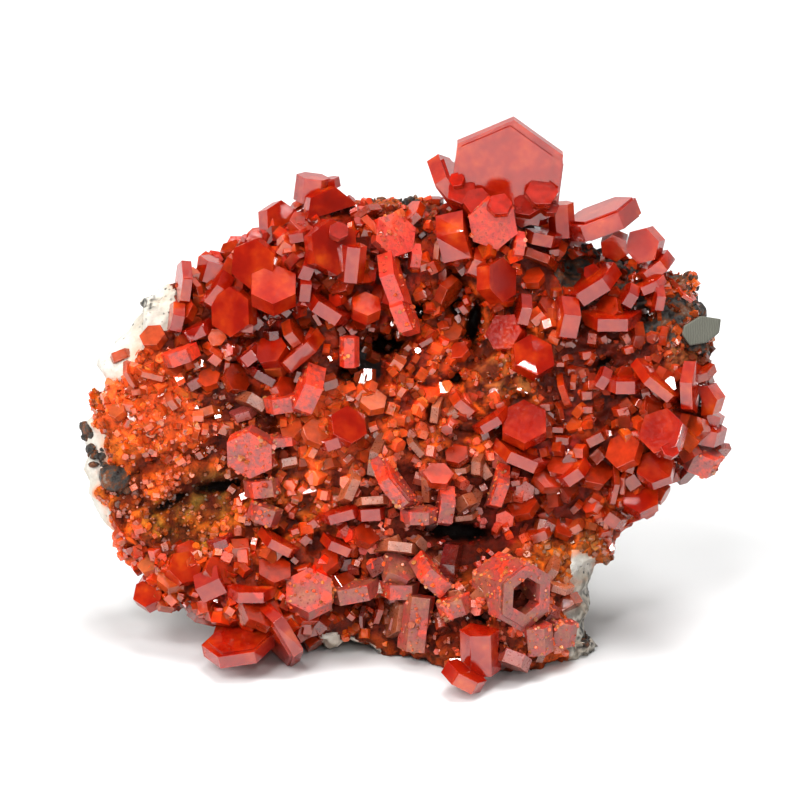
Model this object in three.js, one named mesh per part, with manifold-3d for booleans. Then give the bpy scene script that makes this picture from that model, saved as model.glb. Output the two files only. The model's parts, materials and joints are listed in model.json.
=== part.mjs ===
// Vanadinite crystals on a baryte matrix. Millimetres, +Z up, standing on its cut base at z = 0.
//
// The crystal-bearing face leans back from upright. Everything that grows on it is placed in face
// coordinates: across (to the right), up (along the leaning face, from its foot) and out (square to it).
// A crystal is a hexagonal prism. A `tablet` is placed by the middle of its hexagonal cap, an `edge` by
// the middle of the prism face that looks out.

import * as THREE from "three";
import { mergeVertices } from "three/addons/utils/BufferGeometryUtils.js";
import Module from "manifold-3d";

const wasm = await Module();
wasm.setup();

// Driving dimensions

const FACE_LEAN = 20; // degrees from upright
const FACE_FOOT = new THREE.Vector3(-0.01, -7.24, -3.2); // world place of across, up and out = 0
const GAP = 0.3; // clearance between neighbouring pieces
const CRUST = 1.1; // thickness of the crusts of small crystals
const CRUST_EDGE = -6; // how far back the crusts reach, in out
const RIM_OUT = -3.5; // where the matrix's edge lies, in out
const FRONT_DOME = 3.5; // how far the front stands out of the rim, before its lumps
const BACK_DEPTH = 6.5; // how far the back lies behind the rim at the top
const FOOT_DEPTH = 9; // added to that at the foot, so that the specimen stands
const EDGE_POWER = 0.55; // roundness of the matrix's edge: smaller is blockier
const SECTORS = 28; // facets round the matrix
const RINGS = 14; // facets from the middle of its front to the middle of its back
const CENTRE = new THREE.Vector2(0, 27); // of the matrix's outline, across and up
const LEAST_CRYSTAL = 1; // volume, in mm3, of the smallest that is a piece of its own
const STEPPED_RADIUS = 3.2; // crystals wider than this carry a growth step on each cap
const STEP = 0.2; // height of that step
const EDGE_DROOP = 20; // degrees that a prism face that looks out also looks down
const HALF_SQUARE = Math.cos(Math.PI / 6); // a hexagon's inner radius over its outer one

const FINISHES = {
  baryte: { color: 0xded8d0, roughness: 0.75, metalness: 0 },
  manganese: { color: 0x43443f, roughness: 0.6, metalness: 0.1 },
  coral: { color: 0xd9562c, roughness: 0.4, metalness: 0 },
  mustard: { color: 0xc49338, roughness: 0.6, metalness: 0 },
  brown: { color: 0x7a3218, roughness: 0.5, metalness: 0 },
  tan: { color: 0xc08a58, roughness: 0.6, metalness: 0 },
  red: { color: 0xb5271a, roughness: 0.2, metalness: 0 },
  coated: { color: 0xb7715a, roughness: 0.5, metalness: 0 },
};

// The matrix: a slab whose outline is a smooth curve through these places, across and up

const OUTLINE = [
  [0, 48.3], [7, 47.5], [13, 46.3], [19, 43.6], [25, 42.8], [29.3, 40], [30.6, 35], [29.6, 29],
  [26.6, 22.3], [21.2, 17.3], [19.1, 12.6], [20, 8.6], [18.9, 4.8], [14, 3.2], [6, 3.6], [-2.5, 5],
  [-10, 6.6], [-19, 8.6], [-26, 12], [-30.6, 18], [-32, 25.5], [-30.2, 33.6], [-24, 39.3],
  [-16, 43.2], [-8, 47.4],
];

// Lumps (and, where `rise` is negative, hollows) on its front
const LUMPS = [
  { name: "upper left mound", at: [-9, 43.5], reach: 8.5, rise: 4.6 },
  { name: "crown's seat", at: [9, 45.5], reach: 4.5, rise: 2.6 },
  { name: "saddle", at: [6, 37.5], reach: 4.5, rise: -2.6 },
  { name: "cavity under the double bar", at: [-1.6, 35.2], reach: 1.9, rise: -2.4 },
  { name: "dark corner", at: [18.5, 43], reach: 4, rise: -2.4 },
  { name: "right shoulder", at: [27, 27.5], reach: 5.5, rise: 2.8 },
  { name: "middle", at: [-5, 27.5], reach: 7, rise: 2.4 },
  { name: "left lobe", at: [-25.5, 29.5], reach: 6.5, rise: 2.4 },
  { name: "trench", at: [-20.5, 18.5], reach: 4, rise: -2.6 },
  { name: "lower left", at: [-24, 11], reach: 4.5, rise: 1.6 },
  { name: "left toe", at: [-13.5, 7.5], reach: 5, rise: 4.2 },
  { name: "coated ridge", at: [1, 18.5], reach: 5, rise: 2.2 },
  { name: "band of shade", at: [9, 15.6], reach: 3.6, rise: -1.8 },
  { name: "right toe", at: [9, 6.2], reach: 5.2, rise: 7.4 },
];

const smooth = THREE.MathUtils.smoothstep;
const radians = THREE.MathUtils.degToRad;

function outlineRadii() {
  const places = OUTLINE.map(([across, up]) => new THREE.Vector3(across, up, 0));
  const curve = new THREE.CatmullRomCurve3(places, true, "centripetal");
  return curve
    .getPoints(720)
    .map(({ x, y }) => ({
      angle: Math.atan2(y - CENTRE.y, x - CENTRE.x),
      radius: Math.hypot(x - CENTRE.x, y - CENTRE.y),
    }))
    .sort((a, b) => a.angle - b.angle);
}

const RADII = outlineRadii();

function outlineRadius(angle) {
  const after = RADII.findIndex((place) => place.angle >= angle);
  return RADII[Math.max(after, 0)].radius;
}

function lumpsAt(across, up) {
  const grain = 0.4 * Math.sin(0.9 * across + 1.3) * Math.sin(0.8 * up);
  return LUMPS.reduce((sum, { at, reach, rise }) => {
    const near = Math.hypot(across - at[0], up - at[1]) / reach;
    return sum + rise * Math.exp(-near * near);
  }, grain);
}

// Out of the matrix's surface at a share of the way from its axis to its outline, front (facing > 0) or back
function surfaceOut(across, up, facing) {
  const dome = Math.abs(facing) ** EDGE_POWER;
  const lumps = lumpsAt(across, up) * smooth(facing, -0.35, 0.35);
  if (facing > 0) return RIM_OUT + FRONT_DOME * dome + lumps;
  const foot = 1 - smooth(up, 6, 36);
  const ripple = 0.5 * Math.sin(0.42 * across + 0.8) * Math.sin(0.5 * up + 0.4);
  return RIM_OUT - (BACK_DEPTH + FOOT_DEPTH * foot + ripple) * dome + lumps;
}

function frontAt(across, up) {
  const angle = Math.atan2(up - CENTRE.y, across - CENTRE.x);
  const share = Math.hypot(across - CENTRE.x, up - CENTRE.y) / outlineRadius(angle);
  return surfaceOut(across, up, Math.sqrt(Math.max(0, 1 - share * share)));
}

// Solids

function solidOf(geometry) {
  geometry.deleteAttribute("normal");
  geometry.deleteAttribute("uv");
  const merged = mergeVertices(geometry, 1e-4);
  const triVerts = new Uint32Array(merged.index.array);
  return new wasm.Manifold(
    new wasm.Mesh({ numProp: 3, vertProperties: merged.attributes.position.array, triVerts }),
  );
}

function geometryOf(solid) {
  const { vertProperties, triVerts } = solid.getMesh();
  const geometry = new THREE.BufferGeometry();
  geometry.setAttribute("position", new THREE.BufferAttribute(vertProperties, 3));
  geometry.setIndex(new THREE.BufferAttribute(triVerts, 1));
  geometry.computeVertexNormals();
  return geometry;
}

const largestBody = (solid) => solid.decompose().sort((a, b) => b.volume() - a.volume())[0];

// The uncut matrix, grown outwards by `grow`
function pillow(grow) {
  const sphere = new THREE.SphereGeometry(1, SECTORS, RINGS);
  sphere.rotateX(Math.PI / 2);
  sphere.deleteAttribute("normal");
  sphere.deleteAttribute("uv");
  const shape = mergeVertices(sphere, 1e-4);
  const places = shape.attributes.position;
  const place = new THREE.Vector3();
  for (let i = 0; i < places.count; i++) {
    place.fromBufferAttribute(places, i);
    const radius = outlineRadius(Math.atan2(place.y, place.x));
    const across = CENTRE.x + place.x * radius;
    const up = CENTRE.y + place.y * radius;
    places.setXYZ(i, across, up, surfaceOut(across, up, place.z));
  }
  shape.computeVertexNormals();
  const normal = new THREE.Vector3();
  for (let i = 0; i < places.count; i++) {
    normal.fromBufferAttribute(shape.attributes.normal, i).multiplyScalar(grow);
    place.fromBufferAttribute(places, i).add(normal);
    places.setXYZ(i, place.x, place.y, place.z);
  }
  return solidOf(shape);
}

const FACE = new THREE.Group();
FACE.rotation.x = radians(90 - FACE_LEAN);
FACE.position.copy(FACE_FOOT);
FACE.updateMatrixWorld(true);

// Everything below z = 0, in face coordinates
function underground() {
  const block = new THREE.BoxGeometry(200, 200, 50);
  block.translate(0, 0, -25);
  block.applyMatrix4(FACE.matrixWorld.clone().invert());
  return solidOf(block);
}

// A hexagonal prism along `axis`
function prism({ centre, axis, spin, radius, thickness }) {
  const stepped = radius > STEPPED_RADIUS;
  const place = new THREE.Matrix4().makeRotationFromQuaternion(
    new THREE.Quaternion().setFromUnitVectors(new THREE.Vector3(0, 1, 0), axis),
  );
  place.multiply(new THREE.Matrix4().makeRotationY(spin));
  place.setPosition(centre);
  const depth = stepped ? thickness - 2 * STEP : thickness;
  const solid = solidOf(new THREE.CylinderGeometry(radius, radius, depth, 6).applyMatrix4(place));
  if (!stepped) return solid;
  const step = new THREE.CylinderGeometry(0.86 * radius, 0.86 * radius, thickness, 6);
  step.translate(0.05 * radius, 0, 0.04 * radius);
  return solid.add(solidOf(step.applyMatrix4(place)));
}

// The spin that turns one of a prism's faces to look towards `looking`
function spinTowards(axis, looking) {
  const upright = new THREE.Quaternion().setFromUnitVectors(axis, new THREE.Vector3(0, 1, 0));
  const turned = looking.clone().applyQuaternion(upright);
  return Math.atan2(turned.x, turned.z) + Math.PI / 6;
}

const inFace = (turn, rise) =>
  new THREE.Vector3(
    Math.cos(radians(turn)) * Math.cos(radians(rise)),
    Math.sin(radians(turn)) * Math.cos(radians(rise)),
    Math.sin(radians(rise)),
  );

// A crystal that shows its hexagonal cap: `turn` is where in the face its axis leans (degrees
// anticlockwise from across), `rise` how far the axis rises out of the face, and `corner` the direction
// in the face of one corner. Its cap's middle stands `high` above the crust.
function tablet(across, up, radius, thickness, turn, rise, corner = 90, high = 0.45 * radius + 0.5) {
  const axis = inFace(turn, rise);
  const out = frontAt(across, up) + CRUST + GAP + high;
  const centre = new THREE.Vector3(across, up, out).addScaledVector(axis, -thickness / 2);
  const spin = spinTowards(axis, inFace(corner, 0)) - Math.PI / 6;
  return { centre, axis, spin, radius, thickness };
}

// A crystal that stands on edge and shows a prism face of `length` (its hexagon's side) along
// `direction` in the face, and `width` across it. A positive `rise` also shows the cap that lies to the
// left of that direction, a negative one the cap to its right. The prism face looks out and a little down.
function edge(across, up, length, width, direction, rise = 18, high = 0.9 * length + 0.5) {
  const axis = inFace(direction + 90, rise);
  const looking = inFace(-90, 90 - EDGE_DROOP).projectOnPlane(axis).normalize();
  const out = frontAt(across, up) + CRUST + GAP + high;
  const centre = new THREE.Vector3(across, up, out).addScaledVector(looking, -length * HALF_SQUARE);
  return { centre, axis, spin: spinTowards(axis, looking), radius: length, thickness: width };
}

// Crystals that have grown into one another are one piece, named after the first group below that it holds
// a crystal of. A group whose crystals don't all touch makes a numbered piece of each part.

const CRYSTALS = [
  // The crown and the horn, upper right
  ["crown_cluster", "red", [
    tablet(10.6, 51.4, 6.1, 1.8, -90, 70, 84, 4.2),
    tablet(11.5, 50.9, 5.2, 3.0, -90, 70, 84, 3.4),
    edge(5.0, 50.0, 3.4, 1.8, -58, 16, 3.4),
    edge(7.6, 49.3, 1.6, 1.1, -50, 10, 3.6),
    edge(12.9, 47.5, 2.1, 1.0, -10, 16, 2.2),
    edge(14.2, 45.4, 2.0, 1.2, -12, 14, 2.4),
    edge(16.2, 47.3, 1.3, 3.4, 4, 14, 2.4),
    edge(20.1, 46.7, 4.0, 2.1, 22, 14, 4.2),
  ]],
  ["crown_lower_hexagon", "coated", [
    tablet(9.2, 46.8, 2.6, 1.7, -90, 72, 100, 2.6),
    edge(11.9, 44.5, 1.4, 1.0, 85, 12, 1.8),
  ]],
  ["crown_salmon_block", "coated", [
    edge(5.3, 44.6, 2.8, 2.8, -78, 12, 2.6),
    tablet(10.2, 41.4, 2.3, 1.7, 8, 42, 80, 2.4),
    edge(7.6, 42.6, 1.6, 1.3, 70, 12, 1.4),
  ]],
  ["corner_hexagon", "red", [
    tablet(24.2, 44.9, 1.9, 1.6, 200, 60, 70, 2.2),
    tablet(21.5, 44.7, 1.5, 1.5, 250, 60, 40, 1.8),
    edge(25.5, 42.3, 2.1, 1.3, 40, 12, 1.8),
    edge(24.9, 40.6, 1.7, 0.9, 25, 14),
    edge(22.9, 39.4, 1.4, 1.1, 62, 14),
    edge(25.9, 39.1, 1.5, 0.9, 86, 14),
    edge(21.1, 36.9, 3.0, 1.3, 0, 20, 2.8),
  ]],
  ["shoulder_tablet", "red", [
    edge(19.2, 40.2, 3.1, 1.5, 35, 16, 3.2),
    edge(16.9, 36.8, 2.4, 1.8, 84, 16, 1.9),
  ]],
  // The right shoulder
  ["right_bars", "red", [
    edge(28.3, 29.9, 2.8, 1.2, 88, -16, 2.4),
    edge(25.5, 30.5, 3.1, 1.0, -42, 16, 2.4),
    tablet(30.2, 29.4, 1.7, 1.6, 200, 50, 60, 2.2),
    edge(31.2, 27.4, 1.3, 1.2, -20, 14, 1.6),
    edge(30.3, 25.7, 2.4, 1.6, -12, 18, 2.6),
  ]],
  ["right_rose_hexagon", "red", [tablet(25.7, 26.5, 2.4, 1.8, 140, 62, 78, 2.2)]],
  ["right_low_prism", "coated", [edge(30.0, 22.9, 2.1, 2.2, -24, 24, 2.8)]],
  ["right_low_tablet", "red", [tablet(25.3, 23.0, 2.0, 1.5, 110, 58, 20, 1.8)]],
  ["right_hanging_tablet", "red", [tablet(24.0, 20.0, 2.0, 1.4, 100, 58, 90, 1.8)]],
  ["right_inner_bar", "red", [edge(17.2, 21.8, 1.9, 1.2, 38, 16)]],
  ["right_field_bar", "red", [
    edge(22.3, 30.7, 1.9, 1.3, 0, 16),
    edge(20.1, 31.2, 1.3, 1.0, 60, 14),
  ]],
  // The saddle between the crown and the mound
  ["saddle_tablets", "red", [
    tablet(13.3, 34.0, 2.3, 1.3, 60, 60, 90),
    tablet(10.3, 36.3, 2.0, 1.4, 150, 60, 60),
    edge(12.4, 37.8, 1.8, 1.1, 80, 14),
  ]],
  // The upper left mound
  ["mound_double_bar", "coated", [
    edge(-0.8, 40.4, 3.0, 1.5, -73, 12, 3.4),
    edge(0.1, 37.5, 2.8, 1.4, -73, 14, 4.2),
    tablet(-0.4, 45.9, 2.4, 1.5, 24, 60, 76, 2.4),
    edge(1.6, 43.3, 1.4, 1.0, 86, 14),
  ]],
  ["mound_peak", "red", [
    tablet(-6.8, 47.9, 2.8, 1.7, -20, 68, 84, 2.6),
    edge(-8.8, 50.2, 1.7, 2.6, -8, 16, 2.6),
    edge(-7.0, 51.0, 1.0, 1.0, 10, 14, 1.8),
  ]],
  ["mound_peak_left", "red", [
    tablet(-11.7, 47.4, 2.0, 1.7, 10, 56, 90, 2.4),
    tablet(-14.2, 45.6, 1.3, 1.2, 160, 60, 60, 2.2),
  ]],
  ["mound_cluster", "red", [
    tablet(-6.4, 44.5, 2.8, 1.7, 5, 62, 96, 2.8),
    edge(-4.7, 42.7, 1.3, 3.6, -6, 16, 2.8),
    tablet(-14.5, 42.9, 2.5, 1.5, -160, 70, 80, 2.6),
    edge(-10.2, 45.4, 1.4, 0.9, 10, 14),
    edge(-11.4, 44.3, 1.4, 1.0, 60, 14),
    tablet(-12.4, 40.9, 2.5, 2.0, 90, 54, 90, 2.6),
    edge(-9.2, 41.9, 1.4, 1.2, 70, 14),
    edge(-9.3, 40.0, 1.8, 1.1, 88, 14, 1.8),
    edge(-7.2, 38.0, 2.7, 1.3, -35, 16, 2.6),
    tablet(-3.3, 39.0, 1.6, 1.5, 80, 50, 90, 2),
  ]],
  ["mound_low_tablet", "red", [
    tablet(-16.8, 38.2, 2.5, 1.6, 185, 60, 90, 2.2),
    edge(-15.0, 37.0, 1.8, 1.1, 88, 14, 2.2),
    edge(-18.2, 39.7, 2.2, 1.4, 55, 14, 2.4),
    edge(-18.6, 42.1, 1.7, 2.2, -16, 14, 3),
  ]],
  ["mound_diagonal_bar", "red", [
    edge(-9.9, 33.7, 3.2, 1.4, 43, 14, 2.8),
    tablet(-12.9, 34.6, 1.8, 1.8, 120, 52, 70),
    edge(-14.9, 33.6, 1.4, 1.2, 40, 12),
  ]],
  ["mauve_column", "coated", [edge(-5.0, 34.1, 1.0, 3.0, 0, 12, 2.2)]],
  // The left side
  ["left_bars", "red", [
    edge(-21.2, 40.4, 2.4, 1.0, 86, 14, 2.4),
    edge(-20.2, 36.1, 1.7, 1.2, 25, 14),
    edge(-22.1, 37.1, 1.7, 1.2, 80, 14),
  ]],
  ["left_brown_block", "coated", [edge(-21.8, 33.6, 1.9, 1.4, 20, 12)]],
  // The middle
  ["middle_frosted_block", "coated", [
    edge(-9.0, 29.6, 2.8, 1.9, 70, 14, 2.4),
    edge(-11.6, 28.9, 1.9, 1.5, 10, 12),
  ]],
  ["middle_mauve_tablet", "coated", [
    tablet(-14.9, 24.0, 2.6, 1.7, -110, 62, 86, 2.4),
    edge(-11.6, 25.3, 1.9, 0.9, 5, 14),
  ]],
  ["middle_orange_tablet", "red", [
    tablet(-5.0, 27.1, 2.0, 1.4, 50, 62, 90),
    edge(-6.6, 25.1, 1.4, 1.1, 20, 14),
  ]],
  ["middle_right_tablet", "red", [
    tablet(12.3, 27.4, 2.5, 1.6, 90, 60, 90, 2),
    edge(9.0, 27.0, 2.1, 0.9, 33, 14),
  ]],
  ["middle_right_bar", "red", [edge(12.1, 23.3, 3.0, 1.2, -25, 16, 2.6)]],
  ["middle_upright_bar", "coated", [edge(9.9, 20.1, 2.5, 1.2, 75, 14, 2.2)]],
  ["middle_coated_slab", "coated", [
    edge(-0.6, 20.3, 3.3, 1.6, -55, 14, 3),
    edge(4.6, 18.3, 2.2, 1.5, 84, 12, 2.2),
    edge(1.9, 17.8, 1.9, 1.3, 0, 14),
  ]],
  ["middle_low_bars", "red", [
    edge(-2.9, 18.1, 1.9, 1.2, 4, 14, 1.8),
    edge(-5.8, 17.9, 2.5, 1.0, 17, 16, 2),
  ]],
  ["middle_lowest_bar", "red", [edge(-6.0, 14.7, 2.2, 1.0, -25, 16, 2)]],
  // The left toe
  ["toe_orange_block", "coated", [edge(-13.6, 20.6, 2.0, 1.7, 8, 12, 2)]],
  ["toe_salmon_block", "coated", [edge(-13.4, 17.9, 1.7, 1.8, -20, 14, 1.8)]],
  ["toe_front_tablet", "red", [edge(-16.0, 3.9, 3.6, 1.7, 10, 24, 7)]],
  ["toe_diagonal_bar", "red", [edge(-11.0, 6.2, 4.2, 1.6, -55, -16, 5.8)]],
  ["toe_upper_bar", "red", [edge(-11.9, 14.8, 2.4, 1.0, -30, 16, 2)]],
  ["toe_left_barrel", "red", [
    edge(-18.7, 10.6, 1.7, 2.7, -65, 14, 2.2),
    edge(-14.7, 10.0, 2.5, 1.1, 0, 16, 1.8),
    tablet(-21.3, 12.9, 1.8, 1.5, 45, 58, 70),
  ]],
  ["toe_left_rosette", "red", [tablet(-25.2, 10.3, 1.7, 1.4, 120, 56, 90)]],
  // The right toe, coated all over
  ["hollow_hexagon", "coated", [
    tablet(12.4, 10.1, 3.6, 5.0, -18, 52, 96, 3.2),
    edge(13.4, 5.6, 1.7, 2.8, 4, 14, 2.4),
  ]],
  ["toe_coated_column", "coated", [
    edge(1.8, 7.2, 1.8, 5.6, -6, 10, 2.2),
    edge(-4.6, 10.1, 3.0, 1.6, 12, 16, 2.8),
    edge(0.1, 10.4, 2.2, 1.5, 0, 14, 2),
    tablet(0.4, 13.4, 2.1, 2.0, 60, 50, 90),
    tablet(-9.0, 10.7, 2.6, 1.6, 90, 56, 90, 2.2),
    edge(3.5, 11.4, 2.8, 1.8, -45, 14, 3.2),
    edge(5.4, 8.9, 1.8, 1.7, 20, 12, 2.2),
  ]],
  ["toe_gemmy_prism", "red", [
    edge(7.9, 4.4, 2.0, 4.4, 2, 18, 2.2),
    edge(6.3, 1.9, 2.2, 1.4, -30, 14, 10.4),
  ]],
  ["toe_coral_block", "coated", [edge(16.0, 6.2, 1.6, 2.4, -10, 12, 2.4)]],
];

// The hexagonal pit in the hollow hexagon's cap
const PIT = tablet(12.6, 10.2, 1.9, 3.4, -18, 52, 96, 3.6);

// Crusts of small crystals, each of its own kind. A crust covers what of the front lies nearer to its own
// middles, across and up, than to another crust's.
const CRUSTS = [
  ["crust_red_mound", "red", [[-9, 43], [-15, 37]]],
  ["crust_coral_lobe", "coral", [[-25, 29], [-18, 29.5]]],
  ["crust_mustard_trench", "mustard", [[-21.5, 17.5]]],
  ["crust_orange_toe", "coral", [[-14, 9], [-25, 10]]],
  ["crust_coral_middle", "coral", [[-7, 26]]],
  ["crust_tan_ridge", "tan", [[1, 18], [7, 8]]],
  ["crust_orange_saddle", "coral", [[7, 36], [9, 45]]],
  ["crust_brown_field", "brown", [[19, 31], [24, 24]]],
  ["crust_manganese_corner", "manganese", [[23, 43]]],
];

// Where the matrix shows bare on the front: middle (across, up) and radius
const BARE = [
  [-31.5, 36.5, 6.5],
  [-34.2, 24, 5.5],
  [-32.6, 17, 4],
  [20.5, 9, 4.6],
  [-4.5, 1.5, 4],
];

// Assembly

// All that is nearer to `here` than to `there`, across and up, kept half a gap clear of the border
function nearerTo(here, there) {
  const way = new THREE.Vector2(there[0] - here[0], there[1] - here[1]);
  const half = new THREE.BoxGeometry(200, 200, 200);
  half.translate(-100 + way.length() / 2 - GAP / 2, 0, 0);
  half.rotateZ(way.angle());
  half.translate(here[0], here[1], 0);
  return solidOf(half);
}

function crustArea(middles) {
  const others = CRUSTS.filter(([, , their]) => their !== middles).flatMap(([, , their]) => their);
  return middles
    .map((here) => others.map((there) => nearerTo(here, there)).reduce((a, b) => a.intersect(b)))
    .reduce((a, b) => a.add(b));
}

function crustShell() {
  const front = new THREE.BoxGeometry(200, 200, 100);
  front.translate(0, 0, 50 + CRUST_EDGE);
  const shell = pillow(GAP + CRUST).subtract(pillow(GAP)).intersect(solidOf(front));
  return BARE.reduce((left, [across, up, radius]) => {
    const round = new THREE.CylinderGeometry(radius, radius, 100, 9);
    round.rotateX(Math.PI / 2);
    round.translate(across, up, 0);
    return left.subtract(solidOf(round));
  }, shell);
}

function addPiece(name, finish, solid) {
  const mesh = new THREE.Mesh(geometryOf(solid), new THREE.MeshStandardMaterial(FINISHES[finish]));
  mesh.name = name;
  FACE.add(mesh);
}

const ground = underground();
addPiece("baryte_matrix", "baryte", pillow(0).subtract(ground));

const shell = crustShell().subtract(ground);
CRUSTS.forEach(([name, finish, middles]) => {
  addPiece(name, finish, largestBody(shell.intersect(crustArea(middles))));
});

const clusters = CRYSTALS.flatMap(([, , crystals]) => crystals)
  .map(prism)
  .reduce((a, b) => a.add(b))
  .subtract(pillow(CRUST + 2 * GAP).add(ground))
  .subtract(prism(PIT))
  .decompose();
CRYSTALS.forEach(([name, finish, crystals]) => {
  let pieces = 0;
  crystals.forEach((crystal) => {
    const solid = prism(crystal);
    const holder = clusters.findIndex((cluster) => cluster.intersect(solid).volume() > LEAST_CRYSTAL);
    if (holder < 0) return;
    pieces += 1;
    addPiece(pieces > 1 ? `${name}_${pieces}` : name, finish, clusters.splice(holder, 1)[0]);
  });
});

const specimen = new THREE.Group();
specimen.add(FACE);

export default specimen;
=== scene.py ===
# Vanadinite crystals on a baryte matrix: the finished surfaces, the small crystals and the studio.
#
# Metres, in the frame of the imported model. Places on the crystal-bearing face are given in millimetres as
# (across, up, out): to the right, up along the leaning face from its foot, and square out of it.
import json
import math

import bmesh
import bpy
import numpy as np
from mathutils import Matrix, Vector, noise
from mathutils.bvhtree import BVHTree

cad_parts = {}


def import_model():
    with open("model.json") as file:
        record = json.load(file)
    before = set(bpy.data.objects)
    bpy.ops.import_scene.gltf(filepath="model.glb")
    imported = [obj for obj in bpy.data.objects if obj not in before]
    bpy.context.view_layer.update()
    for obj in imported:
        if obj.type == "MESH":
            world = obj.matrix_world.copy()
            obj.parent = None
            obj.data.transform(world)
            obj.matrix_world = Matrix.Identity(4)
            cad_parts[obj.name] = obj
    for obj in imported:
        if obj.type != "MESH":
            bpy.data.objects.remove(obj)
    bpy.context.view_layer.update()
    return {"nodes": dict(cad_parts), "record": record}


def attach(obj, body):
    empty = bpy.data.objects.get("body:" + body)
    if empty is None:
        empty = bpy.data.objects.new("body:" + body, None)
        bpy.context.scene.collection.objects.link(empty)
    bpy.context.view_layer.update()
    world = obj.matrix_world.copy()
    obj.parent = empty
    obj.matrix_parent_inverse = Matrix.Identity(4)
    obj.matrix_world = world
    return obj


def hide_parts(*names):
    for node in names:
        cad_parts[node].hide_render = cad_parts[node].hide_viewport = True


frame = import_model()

MM = 0.001
FACE_LEAN = math.radians(20)
FACE_FOOT = Vector((-0.01, -7.24, -3.2))
ACROSS = Vector((1, 0, 0))
UP = Vector((0, math.sin(FACE_LEAN), math.cos(FACE_LEAN)))
OUT = Vector((0, -math.cos(FACE_LEAN), math.sin(FACE_LEAN)))
TO_WORLD = Matrix((ACROSS, UP, OUT)).transposed()
TURN = np.array(TO_WORLD)

RANDOM = np.random.default_rng(11)


def linked(name, data):
    """A new object with this data, in the scene."""
    item = bpy.data.objects.new(name, data)
    bpy.context.scene.collection.objects.link(item)
    return item


def world(across, up, out):
    return (TO_WORLD @ Vector((across, up, out)) + FACE_FOOT) * MM


def to_world(places):
    """Places in the face's millimetres, an array of rows, as places in metres."""
    return (places @ TURN.T + np.array(FACE_FOOT)) * MM


def to_face(places):
    """Places in metres, an array of rows, as places in the face's millimetres."""
    return (places / MM - np.array(FACE_FOOT)) @ TURN


def smooth(value, low, high):
    share = np.clip((value - low) / (high - low), 0, 1)
    return share * share * (3 - 2 * share)


def unit(rows):
    return rows / np.linalg.norm(rows, axis=-1, keepdims=True)


def in_face(turn, rise):
    """Directions, `turn` degrees anticlockwise from across and `rise` degrees out of the face."""
    turn, rise = np.radians(turn), np.radians(rise)
    return np.stack([np.cos(turn) * np.cos(rise), np.sin(turn) * np.cos(rise), np.sin(rise) + 0 * turn], -1)


# Colours, as linear red, green and blue

DEEP = (0.41, 0.013, 0.003)
RED = (0.70, 0.026, 0.005)
SCARLET = (0.82, 0.062, 0.007)
ORANGE = (0.86, 0.14, 0.010)
CORAL = (0.98, 0.15, 0.032)
AMBER = (0.74, 0.18, 0.012)
MUSTARD = (0.55, 0.27, 0.03)
OLIVE = (0.12, 0.09, 0.02)
TAN = (0.52, 0.19, 0.05)
PEACH = (0.62, 0.13, 0.045)
SALMON = (0.74, 0.10, 0.04)
MAUVE = (0.42, 0.06, 0.05)
PLUM = (0.34, 0.012, 0.012)
BROWN = (0.32, 0.030, 0.004)
# BLACK and HOLLOW are painted shade: black at the bottom of deep cavities and in the band of shade, dark red
# in the hollows, shallow cavities and shaded grounds. BLACK is also the real black of the manganese oxide.
BLACK = (0.014, 0.005, 0.003)
HOLLOW = (0.15, 0.012, 0.002)
RUST = (0.42, 0.06, 0.006)
SLATE = (0.05, 0.05, 0.046)
CREAM = (0.58, 0.555, 0.51)
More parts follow.
